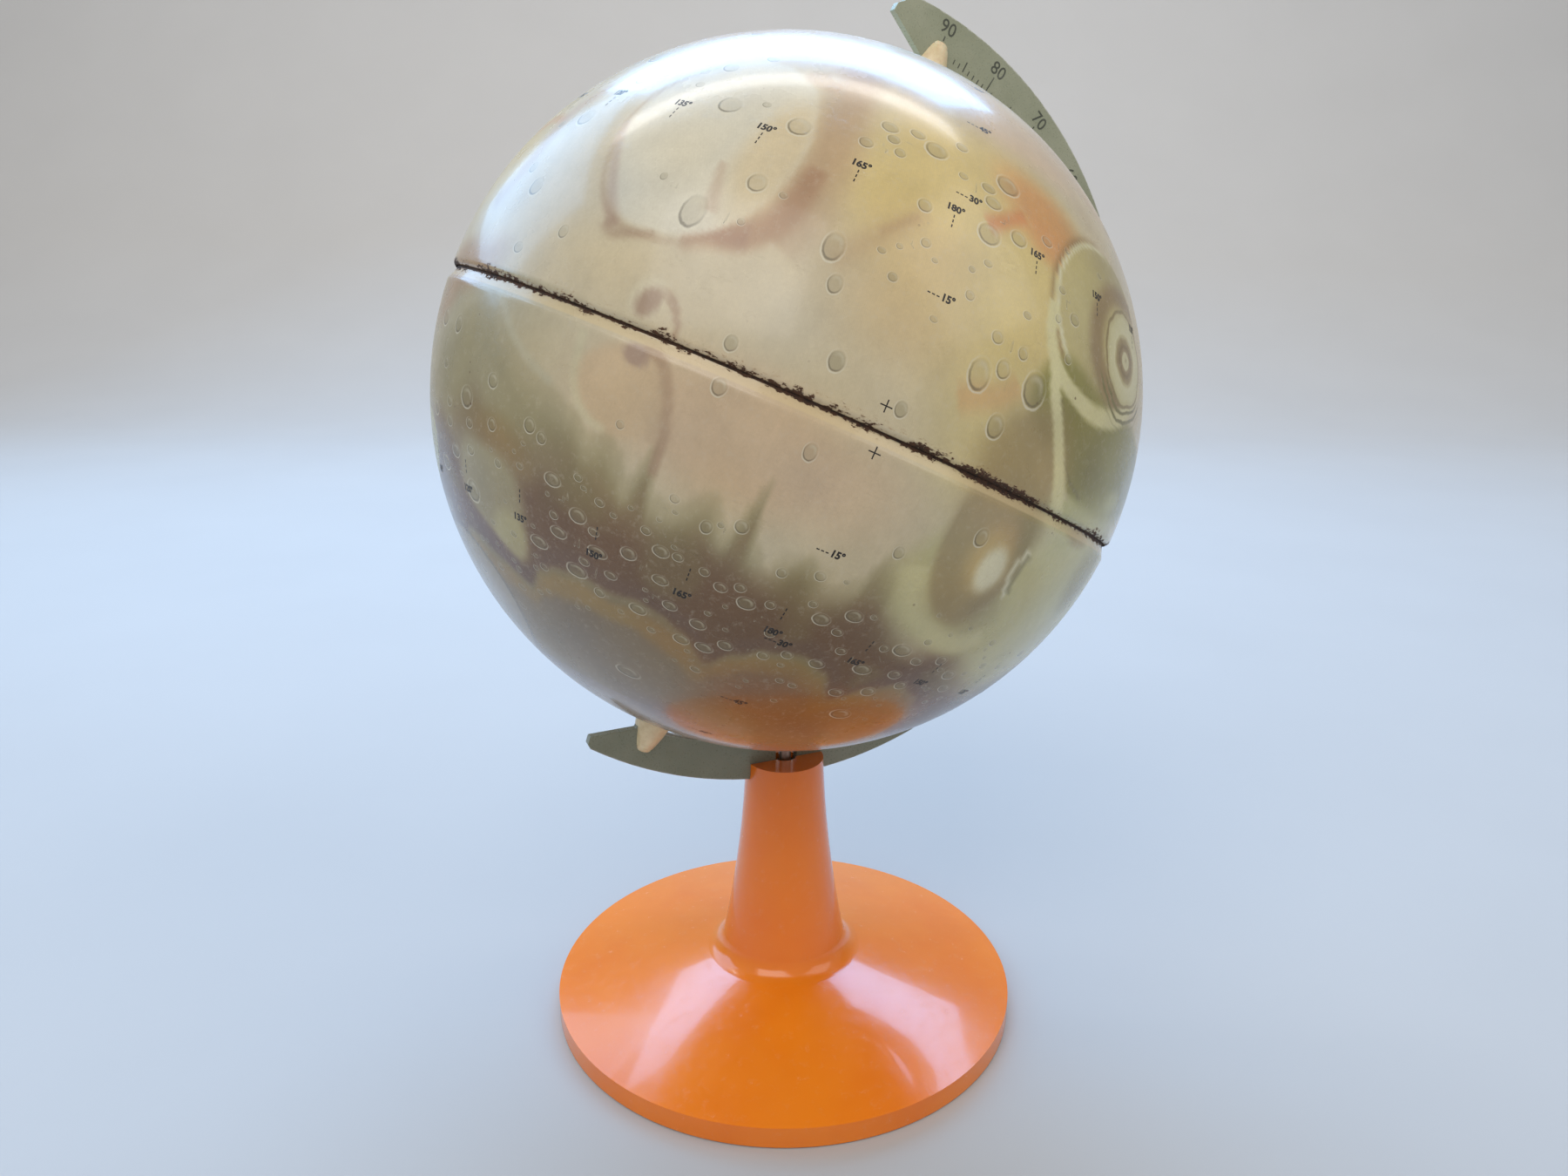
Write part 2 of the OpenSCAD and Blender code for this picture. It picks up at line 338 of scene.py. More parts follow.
# North and south edges of the dark southern band: (longitude, latitude)
BAND_TOP = [
    (-75, -5), (-70, -2.4), (-66, -6), (-60, -9.7), (-55, -11), (-50, -12.6), (-47, -14.8), (-44, -13.6),
    (-42, -15.2), (-40, -18.2), (-37.4, -12), (-36, -18.4), (-33, -19), (-28, -15.2), (-25, -19),
    (-22.3, -10.8), (-21, -19), (-17, -23.2), (-13.2, -17.8), (-10, -21.4), (-6, -18.6), (-3.4, -12.8),
    (-1, -13.4), (1, -18.4), (5, -21.6), (9, -24), (14, -24.8), (20, -23.6), (24, -25.4), (28, -29),
    (34, -31.8), (42, -33), (50, -27), (58, -31), (66, -24), (72, -19), (79, -26), (88, -22), (96, -29),
    (104, -33), (113, -24), (121, -18), (127, -24), (135, -27), (143, -21), (152, -13), (158, -20),
    (166, -26), (175, -22), (184, -15), (192, -21), (201, -28), (210, -24), (219, -30), (228, -22),
    (237, -16), (244, -23), (252, -28), (261, -19), (270, -12), (278, -9), (285, -5)]
BAND_LOW = [
    (-75, -38), (-64, -40), (-57, -42), (-53.5, -38), (-50, -36.4), (-45, -35.6), (-39, -36.2),
    (-34, -35.4), (-30, -36), (-26, -37.6), (-20, -41.6), (-16, -37.6), (-12, -35), (-6, -33.4), (-1, -35),
    (4.6, -39.8), (9, -35), (14, -32.8), (20, -34.4), (25, -38), (31, -46), (40, -48), (49, -42), (58, -47),
    (70, -40), (80, -35), (92, -42), (104, -48), (118, -41), (130, -37), (144, -46), (158, -40), (171, -36),
    (184, -43), (198, -49), (211, -42), (225, -37), (238, -44), (250, -48), (262, -41), (273, -45),
    (285, -38)]
# Craters seen in the photograph: longitude, latitude, half width, half height, how dark the floor is
CRATERS = [
    (-26.3, 37.9, 1.2, 1, .5), (-25, 36, .9, .8, .8), (-28.6, 33.5, 1, .9, .4), (-23.3, 34.2, .8, .8, .5),
    (-21.7, 38.9, 1.1, .8, .5), (-18, 37.6, 1.6, 1.4, .5), (-45.1, 14.9, 1.8, 2.5, .3),
    (-38.6, 31.8, 1.6, 1.6, .1), (-50.4, 31.6, 1.7, 1.6, .1), (-39.3, 21.4, 1.3, 1.4, .1),
    (-51.7, 18, .6, .6, .4), (-26.6, 17.3, 1.4, 2, .2), (-24.6, 13, 1, 1.3, .3), (-20.8, 4.5, 1.1, 1.4, .9),
    (-33.3, 1.5, .9, 1.1, .7), (-17.3, 28, 1, 1, .4), (-15.6, 23, .7, .7, .3), (-13.8, 40.6, .9, .8, .4),
    (-4.3, 38.1, 1.8, 1.6, .5), (-6.9, 33.7, 1.3, 1, .4), (-8, 35.7, 1.1, .8, .6),
    (-6.8, 28.6, 1.7, 1.6, .4), (-1.6, 30.4, 1.3, 1.2, .2), (-12.7, 35.5, .7, .6, .3),
    (-8.3, 22.6, .5, .5, .6), (-7.6, 19.2, .7, .7, .2), (-3, 10.5, 1.6, 2.2, .1), (.2, 12.5, 1.1, 1.3, .1),
    (6, 12, 1.9, 2.4, .8), (1.8, 5.5, 1.3, 1.6, .3), (-2, 15.9, .9, .9, .2), (2.6, 15.6, .8, .9, .2),
    (11, 18.2, .7, .7, .2), (8, 26.9, .7, .6, .4), (11.3, 23.9, 1, .9, .4), (7.7, 22.6, .6, .6, .2),
    (-11.2, 2.4, .9, 1.1, .8), (-32.6, -3.8, 1, 1.2, .3), (-19.4, -6.7, .9, 1.2, .3),
    (7.4, -7.9, 1.1, 1.3, .2), (-43, -12.8, .6, .6, .3), (-66, -14.3, 1.1, 1, .1),
    (-72.5, -18, 1.6, 1.5, .2), (-57, -17.8, 1, 1, .2), (-54.5, -18.7, .8, .8, .3), (-65, -20, .9, .9, .2),
    (-33, -18.8, .7, .6, .2), (-23.5, -18.7, .9, .9, .3), (-27.8, -20.6, .8, .9, .4),
    (-51.5, -23.4, 1.3, .9, .6), (-46.3, -26.7, 1.3, 1, .4), (-50.6, -28.2, .7, .6, .5),
    (-43.3, -27.9, .8, .6, .4), (-37.2, -28.7, 1.1, .9, .5), (-32.6, -26.4, 1.1, .8, .3),
    (-25.8, -26.6, .7, .6, .4), (-49.5, -30.4, 1.3, .8, .4), (-42.2, -30.6, 1.4, .8, .5),
    (-31.5, -30.5, 1.1, .7, .4), (-53.5, -33.4, 1.5, .9, .6), (-44.3, -33, .8, .6, .5),
    (-39.4, -33.2, .9, .6, .5), (-45.6, -35, 1.6, 1, .6), (-28.9, -33.8, 1, .7, .8),
    (-23.7, -34.9, 1.1, .8, .5), (-41, -36.9, .8, .7, .6), (-33.8, -36.7, 1.2, .8, .9),
    (-25.3, -38.7, 1.1, .8, .6), (-21.2, -38.5, 1.2, .8, .8), (-18.2, -36.6, 1, .8, .7),
    (-18.5, -28.6, 1.2, .9, .8), (-15.2, -27.4, .7, .6, .4), (-16, -22.4, .7, .7, .4),
    (-11, -20.8, .8, .7, .2), (-7.4, -26.6, 1.2, .9, .7), (-3.3, -24.4, 1.2, .9, .8),
    (-4, -27.6, .8, .6, .4), (-13, -31.7, .7, .6, .3), (-8.5, -34.1, .8, .7, .4),
    (-3.2, -33.8, 1.1, .8, .4), (-1.3, -30.3, .8, .6, .3), (4.4, -32.1, 1.4, .9, .8),
    (7.8, -26.8, 1.5, 1, .4), (4.7, -27.5, .7, .6, .3), (10.7, -31.2, 1.1, .8, .3), (14, -32.8, 1, .8, .5),
    (9.6, -35.8, 1.1, .9, .5), (12, -27.8, 1, .7, .5), (16.5, -26.4, 1, .8, .3), (-11.8, -35.8, .8, .7, .4),
    (4.4, -37.9, 1.1, .8, .4), (-33.8, -51, 1.8, 1.2, .3), (10.5, -42.3, 1.6, 1.2, .3),
    (21.5, -28.5, 1.3, .9, .3), (24.4, -31.2, 1.2, .8, .3), (-2.9, -13.9, .8, .9, .1), (-62, 7, .9, 1, .2),
    (-73, 12, 1.5, 1.5, .3), (-79, -9, 1.2, 1.3, .3), (-57, 39, 1.2, 1.1, .2), (33, 46, 1.4, 1.2, .4)]
# the great mountain: middle and half sizes of its shield and of its mouth
SHIELD = (20.4, 26.4, 14.2, 11.8)
CONE_AT, CONE_SIZE = (28.2, 23.9), (7.7, 6.9)
MAP_SEED = 11
PATH_WOBBLE = 0.25
CRATER_LAYERS = ("ca", "cb", "cc")
CRATER_SPACE = 0.95
FAR_OFF = 9.0


def waves(p, degrees, seed, count=22):
    """Smooth noise of about that wavelength on the unit ball, about -1 to 1."""
    rng = np.random.default_rng(seed)
    k = rng.normal(size=(count, 3))
    k *= (360 / degrees * rng.uniform(0.6, 1.5, count) / np.linalg.norm(k, axis=1))[:, None]
    total = np.zeros(len(p))
    for ki, ph in zip(k, rng.uniform(0, 2 * math.pi, count)):
        total += np.sin(p @ ki + ph)
    return total / math.sqrt(count / 2) * 0.5


class Map:
    """Paints display colours at longitudes and latitudes."""

    def __init__(self, lon, lat):
        self.lon, self.lat = lon, lat
        lo, la = np.radians(lon), np.radians(lat)
        self.p = np.stack([np.cos(la) * np.cos(lo), np.cos(la) * np.sin(lo), np.sin(la)], 1)
        self.n1, self.n2 = waves(self.p, 14, 1), waves(self.p, 14, 2)
        self.f1, self.f2 = waves(self.p, 3.6, 3), waves(self.p, 3.6, 4)
        self.soft = waves(self.p, 22, 5)
        self.rgb = np.tile(np.array(TAN, float), (len(lon), 1))

    def away(self, lon0):
        return (self.lon - lon0 + 180) % 360 - 180

    def lay(self, colour, mask, strength=1.0):
        m = np.clip(mask, 0, 1)[:, None] * strength
        self.rgb = self.rgb * (1 - m) + np.array(colour, float) * m

    def ell(self, lon0, lat0, rx, ry, turn=0.0, wobble=0.5):
        """Scaled distance from the middle of an ellipse, 1 on its edge."""
        x = self.away(lon0) + wobble * (self.n1 + 0.10 * self.f1)
        y = self.lat - lat0 + wobble * (self.n2 + 0.10 * self.f2)
        c, s = math.cos(math.radians(turn)), math.sin(math.radians(turn))
        return np.hypot((x * c + y * s) / rx, (y * c - x * s) / ry)

    def blob(self, colour, lon0, lat0, rx, ry, soft=0.25, turn=0.0, strength=1.0, wobble=0.5):
        d = self.ell(lon0, lat0, rx, ry, turn, wobble)
        self.lay(colour, fade(d, 1 - soft, 1 + soft), strength)

    def near(self, path):
        """Distance in degrees from a smooth path, how far along it, and the side."""
        pts = np.array(path, float)
        ends = np.vstack([2 * pts[0] - pts[1], pts, 2 * pts[-1] - pts[-2]])
        fine = []
        for i in range(1, len(ends) - 2):
            a, b, c, d = ends[i - 1:i + 3]
            for t in np.linspace(0, 1, 6, endpoint=False):
                fine.append(0.5 * (2 * b + (c - a) * t + (2 * a - 5 * b + 4 * c - d) * t * t
                        + (3 * b - a - 3 * c + d) * t ** 3))
        fine = np.array(fine + [pts[-1]])
        flat = math.cos(math.radians(pts[:, 1].mean()))
        x, y = self.away(pts[0, 0]) * flat + PATH_WOBBLE * self.n1, self.lat + PATH_WOBBLE * self.n2
        fx, fy = (fine[:, 0] - pts[0, 0]) * flat, fine[:, 1]
        best, at, side = np.full(len(x), 1e9), np.zeros(len(x)), np.zeros(len(x))
        for i in range(len(fine) - 1):
            dx, dy = fx[i + 1] - fx[i], fy[i + 1] - fy[i]
            t = np.clip(((x - fx[i]) * dx + (y - fy[i]) * dy) / (dx * dx + dy * dy + 1e-12), 0, 1)
            ex, ey = x - fx[i] - t * dx, y - fy[i] - t * dy
            d = np.hypot(ex, ey)
            hit = d < best
            best[hit], at[hit] = d[hit], (i + t[hit]) / (len(fine) - 1)
            side[hit] = np.sign(dx * ey - dy * ex)[hit]
        return best, at, side

    def stroke(self, colour, path, width, strength=1.0, end_width=None, soft=0.5, one_side=0):
        """A brushed line; one_side keeps only the left (1) or right (-1) of it, crisp on the path."""
        d, at, side = self.near(path)
        w = width + ((end_width if end_width is not None else width) - width) * at
        m = fade(d, w * (1 - soft) * 0.5, w * (1 + soft) * 0.5)
        m = m * rise(at, 0.0, 0.06) * fade(at, 0.94, 1.0) if soft > 0.3 else m
        if one_side:
            m = m * (side * one_side > 0)
        self.lay(colour, m, strength)

    def edge(self, points):
        """Latitude of a scalloped edge at each longitude."""
        pts = np.array(points, float)
        lon = (self.lon + 75 + 0.12 * self.f1) % 360 - 75
        i = np.clip(np.searchsorted(pts[:, 0], lon) - 1, 0, len(pts) - 2)
        t = (lon - pts[i, 0]) / (pts[i + 1, 0] - pts[i, 0])
        t = t * t * (3 - 2 * t)
        return pts[i, 1] * (1 - t) + pts[i + 1, 1] * t


def paint_north(m):
    """Broad grounds of the north."""
    lat = m.lat
    m.lay((203, 179, 149), rise(lat + 3 * m.n1, 40, 50))
    m.lay((213, 203, 186), rise(lat + 2 * m.n2, 56, 66))
    m.lay(ICE, rise(lat + 1.4 * m.n1 + 0.6 * m.f1, 76, 78.5))
    m.blob(OCHRE, -9, 30, 22, 14.5, 0.35)
    m.blob((207, 181, 134), -12, 17, 17, 9, 0.5, strength=0.6)
    m.blob((209, 190, 126), 5, 14, 13, 20, 0.6, strength=0.8)
    for lon0, lat0, rx, ry in ((62, 33, 20, 12), (118, 28, 26, 15), (168, 22, 18, 14), (222, 33, 27, 13),
            (262, 18, 16, 12)):
        m.blob(OCHRE, lon0, lat0, rx, ry, 0.4, strength=0.85)
    for lon0, lat0, rx, ry in ((88, 18, 15, 11), (143, 38, 19, 9), (196, 8, 15, 9), (245, 40, 17, 8)):
        m.blob(OLIVE_PALE, lon0, lat0, rx, ry, 0.3, strength=0.8)


def paint_wedge(m):
    """The mauve wedge between the round plain and the ochre ground."""
    m.stroke(MAUVE, [(-36, 49), (-35, 44), (-33.8, 38), (-33, 31), (-33.2, 25), (-33.8, 19), (-36, 15)],
             6.5, 0.55, 7.5, 0.8)
    m.stroke(MAUVE, [(-33, 27), (-33.2, 22), (-34.4, 17.5), (-37.5, 14.4), (-42, 13.6), (-46, 12)],
             2.6, 0.95, 5.2, 0.6)
    m.stroke((148, 108, 84), [(-36.5, 14.6), (-40, 14), (-43.5, 14.4)], 3.4, 0.6, 2.6, 0.9)


def paint_plain(m):
    """The pale round plain with its crisp edge, and the strokes about it."""
    lat = m.lat
    d = m.ell(-49.6, 26.6, 14.4, 16.6, 0, 0.35)
    m.lay(PALE, fade(d, 0.94, 1.02), 0.95)
    m.lay((164, 138, 112), fade(np.abs(d - 1.03), 0.0, 0.05)
          * rise(-m.away(-49.6) - 0.6 * (lat - 26.6), -3, 7), 0.42)
    m.blob((209, 188, 146), -39.6, 26, 4.2, 9.5, 0.45, strength=0.75)
    m.stroke((180, 150, 124), [(-43.2, 15.4), (-43.9, 18.5), (-45, 23)], 2.2, 0.45, 0.8, 0.9)
    m.stroke(MAUVE, [(-39.5, 43), (-42, 42), (-37, 41)], 3, 0.4)
    m.stroke((150, 116, 100), [(-64.5, 25), (-62.4, 20.6), (-59.4, 16), (-56.4, 12.2), (-54.2, 9.4)],
             1.2, 0.32, 1.8, 0.8)
    m.stroke((152, 124, 100), [(-56, 10.4), (-54, 9), (-51.5, 9.5), (-48, 10.4)], 2.0, 0.5, 0.8, 0.8)
    m.stroke((182, 150, 110), [(-27, 15), (-23, 19.4), (-20, 23), (-16, 27.5)], 3.4, 0.35, 2.2, 0.9)
    m.stroke((172, 138, 102), [(-22, 21.6), (-19.6, 24), (-17.2, 26)], 1.2, 0.35, 1.0, 0.9)


def paint_streaks(m):
    """Orange streaks, and the wedges of the far side."""
    m.blob(RUSTY, 3.5, 36.5, 9, 4.6, 0.6, -18, 0.75)
    m.stroke((204, 128, 78), [(-7.6, 30), (-5.4, 31.4), (-3, 32.8), (-0.4, 34.4)], 2.6, 0.75, 2.0, 0.95)
    m.blob(RUSTY, 4.5, 32.6, 5, 2.6, 0.7, -10, 0.5)
    m.stroke((204, 160, 108), [(-5, 6.4), (-2, 8), (1, 9.4), (3.6, 12)], 3.4, 0.6, 3, 0.9)
    for k in range(9):
        lon0, lat0 = 52 + 27 * k, 12 + 22 * abs(math.sin(2.3 * k))
        m.stroke(RUSTY, [(lon0, lat0), (lon0 + 5, lat0 + 2.6), (lon0 + 11, lat0 + 2)], 2.4, 0.55, 1.4, 0.9)
        m.stroke(MAUVE, [(lon0 + 8, lat0 - 14), (lon0 + 12, lat0 - 6), (lon0 + 11, lat0 + 4),
                (lon0 + 16, lat0 + 12)], 3.6, 0.45, 2.4, 0.8)


def paint_shield(m):
    """The shield of the great mountain: shaded scarp, olive floor, cream rim and the long curve south."""
    lat = m.lat
    ds = m.ell(*SHIELD, 0, 0.25)
    out = rise(ds, 1.0, 1.02)
    m.lay((134, 108, 68), out * fade(ds, 1.0, 1.13)
          * rise(-m.away(SHIELD[0]) - 0.2 * (lat - SHIELD[1]), -6, 6), 0.75)
    inside = fade(ds, 0.985, 1.005)
    m.lay((192, 178, 122), inside)
    m.lay((158, 146, 104), inside * rise(m.away(11), 1, 9) * rise(ds, 0.2, 0.9), 0.6)
    m.lay((141, 116, 80), inside * fade(np.abs(m.ell(28.4, 24.6, 11.2, 8.4, 0, 0.2) - 1.0), 0.05, 0.3),
          0.75)
    m.lay((134, 122, 84), inside * fade(lat + 0.22 * m.away(10), 15.6, 19.5), 0.75)
    m.lay((222, 218, 184), fade(np.abs(ds - 0.962), 0.008, 0.045) * rise(-m.away(SHIELD[0]), -6, 2), 0.8)
    # cream rim below the shield and the long cream curve down to the south
    m.stroke(OLIVE, [(12, 12.5), (17, 10.5), (24, 9), (33, 9), (40, 8)], 12, 0.95, 12, 0.25)
    m.stroke(OLIVE, [(13.5, 10), (17, 6.6), (21, 4.2), (27, 2.6)], 6, 0.95, 5, 0.2)
    m.blob(OLIVE, 33, 8, 14, 7, 0.2, 4, 0.95)
    m.blob((120, 114, 66), 21, 7.4, 8, 4, 0.8, -24, 0.5)
    m.blob(OLIVE_PALE, 34, 4.4, 3, 1.4, 0.6, 0, 0.8)
    m.blob(OLIVE_PALE, 24, -0.4, 8, 2.2, 0.4, 0, 0.9)
    m.stroke(CREAM, [(6.2, 24), (6.6, 20), (8.6, 16.8), (12, 14.6), (17, 13.4), (22, 13.5), (27, 15),
            (31, 17.8), (35, 22)], 1.8, 0.95, 3.2, 0.3)
    m.stroke(CREAM, [(8.4, 16.4), (10, 12.4), (12.4, 8.8), (15, 5.4), (17, 2), (18.4, -1.4)],
             1.7, 0.95, 3.2, 0.3)
    m.stroke((100, 92, 58), [(10.6, 13), (12.8, 9.6), (15.6, 6), (18.6, 3.6), (23, 2)],
             0.9, 0.55, 0.7, 0.7, one_side=1)
    # low olive-brown ground west of the curve
    m.blob(BROWN, 9, 3, 8.5, 7.5, 0.4, 24, 0.85)
    m.stroke(CREAM, [(8.6, 16.2), (10.4, 12), (12.8, 8.4), (15.2, 5), (17, 1.6), (18, -1.4)],
             1.5, 0.9, 2.6, 0.3)


def paint_belt(m):
    """The southern plain, the banded dark belt and the lobes below it."""
    lat = m.lat
    m.blob((203, 177, 143), -28, -9, 20, 8, 0.5)
    m.lay(GREY_MAUVE, fade(lat + 2.5 * m.n1, -52, -42))
    m.lay((168, 155, 138), fade(lat + 2 * m.n2, -68, -58), 0.8)
    m.lay(ICE, fade(lat + 1.3 * m.n1 + 0.6 * m.f2, -81, -79))
    top, low = m.edge(BAND_TOP), m.edge(BAND_LOW)
    deep = 0.34 * rise(top - lat, -0.3, 1.4) + 0.56 * rise(top - lat + 0.5 * m.n1, 0.5, 6.5)
    m.lay(GREY_OLIVE, deep * (lat > -60))
    west = fade(np.abs(m.away(-92)), 22, 44)
    m.lay((134, 114, 80), rise(top - lat + m.n1 - 7 * west, 3, 9.5) * (lat > -60), 0.8)
    m.lay((158, 150, 118), west * rise(lat, -22, -12) * (lat < 0), 0.6)
    m.lay(MAUVE_DARK, rise(-lat + 2.2 * m.n2 + m.soft, 21, 28.5) * rise(lat - low, -0.6, 1.2), 0.92)
    m.lay((128, 116, 74), rise(m.n1 + 0.8 * m.soft, 0.25, 0.9) * rise(-lat, 18, 23) * rise(lat - low, 0, 2),
          0.42)
    m.blob((146, 118, 70), -63, -22.4, 6.5, 3.0, 0.8, -14, 0.7)
    m.lay((106, 80, 62), fade(np.abs(lat - low - 1.6 + 0.6 * m.n1), 0.2, 2.8) * rise(lat - low, -0.5, 0.8),
          0.75)
    # below the belt: printed ground and lobes, their colours partly painted shade of the ball's underside
    # and a painted orange reflection of the foot
    below = rise(low - lat, -0.5, 1.6) * rise(lat + 1.5 * m.n1, -56, -40)
    m.lay((128, 110, 84), below, 0.92)
    m.lay((158, 128, 68), below * fade(np.abs(low - lat - 2.6 + 0.8 * m.n2), 0.8, 3.6), 0.75)
    m.lay((142, 134, 84), below * fade(low - lat, 0, 2.0), 0.6)
    m.blob((142, 92, 50), -4, -45, 14, 7, 0.6, 0, 0.75)
    m.blob((164, 112, 60), 17, -42, 11, 7, 0.6, 0, 0.65)
    m.blob((132, 118, 98), -38, -50, 22, 6.5, 0.5, 0, 0.6)
    m.blob((148, 112, 62), -27, -40.6, 6, 2.4, 0.8, -14, 0.6)
    m.blob((120, 100, 90), -24, -60, 10, 3.4, 0.8, -8, 0.6)
    m.blob((166, 156, 116), -66, -29.6, 9.5, 6.4, 0.22, -16, 0.82)
    m.blob((176, 166, 120), -60.5, -34.6, 4.4, 3.8, 0.3, -20, 0.9)
    m.stroke((112, 88, 78), [(-84, -34), (-74, -35), (-66, -37.4), (-59, -40)], 3.6, 0.85, 3, 0.6)
    d = m.ell(-84, -51, 19, 12, 0, 0.3)
    m.lay((163, 152, 132), fade(d, 0.96, 1.02), 0.8)
    m.lay((92, 84, 72), fade(np.abs(d - 1), 0.004, 0.035), 0.7)


def paint_hooks(m):
    """The small lobe with its pale edges, and the hooks across the seam."""
    m.blob((203, 178, 142), -44.5, -9, 7, 5.6, 0.12, -10, 0.9)
    m.stroke((206, 198, 162), [(-52.2, -3), (-52, -6), (-51.4, -9.4), (-50, -12), (-47.6, -13.8),
            (-44.6, -14.4)], 1.5, 0.6, 1.1, 0.8)
    m.stroke((186, 182, 156), [(-70.6, -2.6), (-67.4, -4.6), (-64.8, -7), (-61.5, -9), (-57.5, -10.6),
            (-54, -11.6)], 1.3, 0.5, 1.0, 0.9)
    m.stroke((166, 138, 112), [(-44.6, 3.8), (-43.4, 3.9), (-42, 3.2), (-41, 2), (-40.3, 0.6), (-40, -1.4)],
             1.7, 0.75, 0.6, 0.5)
    m.stroke((166, 136, 108), [(-44, -3.4), (-42, -3.2), (-40.2, -4), (-38.8, -5.8), (-37.6, -8.4),
            (-37, -11.4), (-36.9, -15), (-37.2, -18)],
             1.6, 0.7, 1.3, 0.6)
    m.stroke((184, 160, 128), [(-40.6, -4.4), (-39, -7), (-38.2, -10.6), (-38, -14)], 2.4, 0.4, 3.0, 0.9)
    m.blob((214, 206, 178), -45.4, 2.8, 2.3, 2.8, 0.3, -24, 0.6, 0.04)
    m.blob((158, 130, 108), -45.1, 2.3, 1.5, 2.05, 0.32, -24, 0.85, 0.04)
    m.blob((160, 134, 118), -44, -4.2, 1.9, 1.3, 0.3, -12, 0.8, 0.1)


def paint_island(m):
    """The island with a bright heart, and the pale ground east of it."""
    m.blob((196, 192, 144), 32, -14, 17, 17, 0.25, 0, 0.95)
    m.blob((188, 180, 128), 12, -16, 14, 9.5, 0.2, 0, 0.9)
    m.stroke((206, 198, 150), [(0.4, -14), (1.4, -17), (4, -20), (8, -22.2), (12.5, -23.2), (17, -22.6),
            (20, -20)], 3.8, 0.8, 3.4, 0.7)
    m.blob((160, 142, 100), 9.4, -9, 7.6, 11.4, 0.1, 6, 0.92)
    m.blob((142, 130, 84), 14.6, -4.6, 3.4, 4.2, 0.5, -10, 0.6)
    m.blob((146, 128, 88), 12, -17.4, 6.4, 3.4, 0.6, 4, 0.5)
    m.blob((196, 152, 104), 11, -6.6, 2.6, 2.2, 0.9, -20, 0.5)
    m.blob((170, 150, 112), 7, -4, 5, 3.4, 0.8, 0, 0.6)
    m.blob((196, 170, 112), 10.8, -10.4, 3.6, 4.6, 0.5, 10, 0.8, 0.2)
    m.blob((218, 212, 180), 12, -11.4, 2.4, 3.4, 0.35, 6, 0.95, 0.15)
    m.stroke((214, 208, 176), [(17.4, -6.4), (16.2, -9), (16.4, -12), (17.8, -14.6)], 0.9, 0.9, 0.8, 0.4)
    m.stroke((132, 126, 88), [(17.8, -7.2), (17.2, -9.6), (17.3, -12), (18, -13.8)], 1.1, 0.7, 0.9, 0.5)
    m.blob((160, 142, 102), 27.5, -2.4, 3.6, 1.5, 0.5, 0, 0.7)
    m.blob((150, 140, 92), 38, -7, 5, 6, 0.5, 0, 0.7)


def paint_far_side(m):
    """The far side: round basins, dark seas, a long canyon."""
    for lon0, lat0, rx, ry, c in ((96, -41, 15, 9, PALE), (236, -44, 10, 7, PALE), (128, -8, 12, 8, BROWN),
            (205, -3, 14, 7, BROWN), (74, 2, 9, 9, OLIVE_PALE), (262, -28, 11, 6, OLIVE_PALE)):
        d = m.ell(lon0, lat0, rx, ry, 8, 0.5)
        m.lay(c, fade(d, 0.94, 1.03), 0.85)
        m.lay((120, 98, 78), fade(np.abs(d - 1.03), 0.01, 0.06) * rise(m.soft, -0.6, 0.4), 0.5)
    canyon = [(66, -6), (74, -8), (83, -7), (92, -10.5), (101, -11), (109, -13), (118, -11), (124, -6)]
    m.stroke((196, 176, 140), canyon, 5.4, 0.7, 6.4, 0.4)
    m.stroke((112, 84, 64), canyon, 2.2, 0.85, 3.0, 0.4)
    m.stroke((134, 104, 74), [(78, -9.6), (88, -11), (97, -13), (106, -14.6)], 1.1, 0.8, 1.6, 0.5)
    for lon0, lat0, r in ((61, 1.5, 4.6), (66.5, 10, 4.4), (71, 18.5, 4.2), (58, 38, 7.5), (247, 24, 5.5)):
        d = m.ell(lon0, lat0, r, r, 0, 0.2)
        m.lay(CREAM, fade(d, 0.9, 1.05) * (0.55 + 0.45 * np.cos(d * 14)), 0.8)
        m.lay((128, 108, 78), fade(d, 0.1, 0.24), 0.8)
    for lon0, lat0, w, h in ((150, 14, 22, 6), (185, 30, 15, 5), (228, 2, 17, 5), (276, -2, 12, 5)):
        m.blob(MAUVE, lon0, lat0, w, h, 0.5, 24, 0.7, 2.0)


def paint_map(lon, lat):
    m = Map(lon, lat)
    for paint_part in (paint_north, paint_wedge, paint_plain, paint_streaks, paint_shield, paint_belt,
            paint_hooks, paint_island, paint_far_side):
        paint_part(m)
    # brushed unevenness
    cloud, stipple = waves(m.p, 9, 7), waves(m.p, 2.2, 8, 40)
    m.rgb *= (1 + 0.022 * cloud + 0.012 * stipple)[:, None]
    m.rgb += np.outer(waves(m.p, 17, 9), (2.5, 0.5, -3.0))
    return np.clip(m.rgb, 0, 255)


def crater_list():
    """The placed craters and seeded ones: longitude, latitude, half width, half height, floor darkness."""
    rng = np.random.default_rng(MAP_SEED)
    out = list(CRATERS)

    def clear(lon, lat, r, gap):
        return all(apart((lon, lat), c) >= r + max(c[2], c[3]) + gap for c in out)

    def scatter(count, lat_low, lat_high, r_low, r_high, gap, seen_ok=True):
        for _ in range(count):
            lon = rng.uniform(0, 360)
            lat = math.degrees(math.asin(rng.uniform(*np.sin(np.radians((lat_low, lat_high))))))
            r = r_low + (r_high - r_low) * rng.random() ** 2.2
            if not seen_ok and -70 < (lon + 180) % 360 - 180 < 36:
                continue
            if clear(lon, lat, r, gap):
                out.append(((lon + 180) % 360 - 180, lat, r * rng.uniform(1, 1.25),
                            r * rng.uniform(0.85, 1), rng.uniform(0.1, 0.8)))

    scatter(260, -46, -18, 0.8, 1.9, 0.5, False)
    scatter(420, -44, -19, 0.35, 0.75, 0.3)
    scatter(120, -17, 45, 0.8, 2.2, 2.4, False)
    scatter(90, 12, 60, 0.4, 1.0, 1.2)
    scatter(60, -70, 70, 0.5, 1.5, 3.0)
    return out


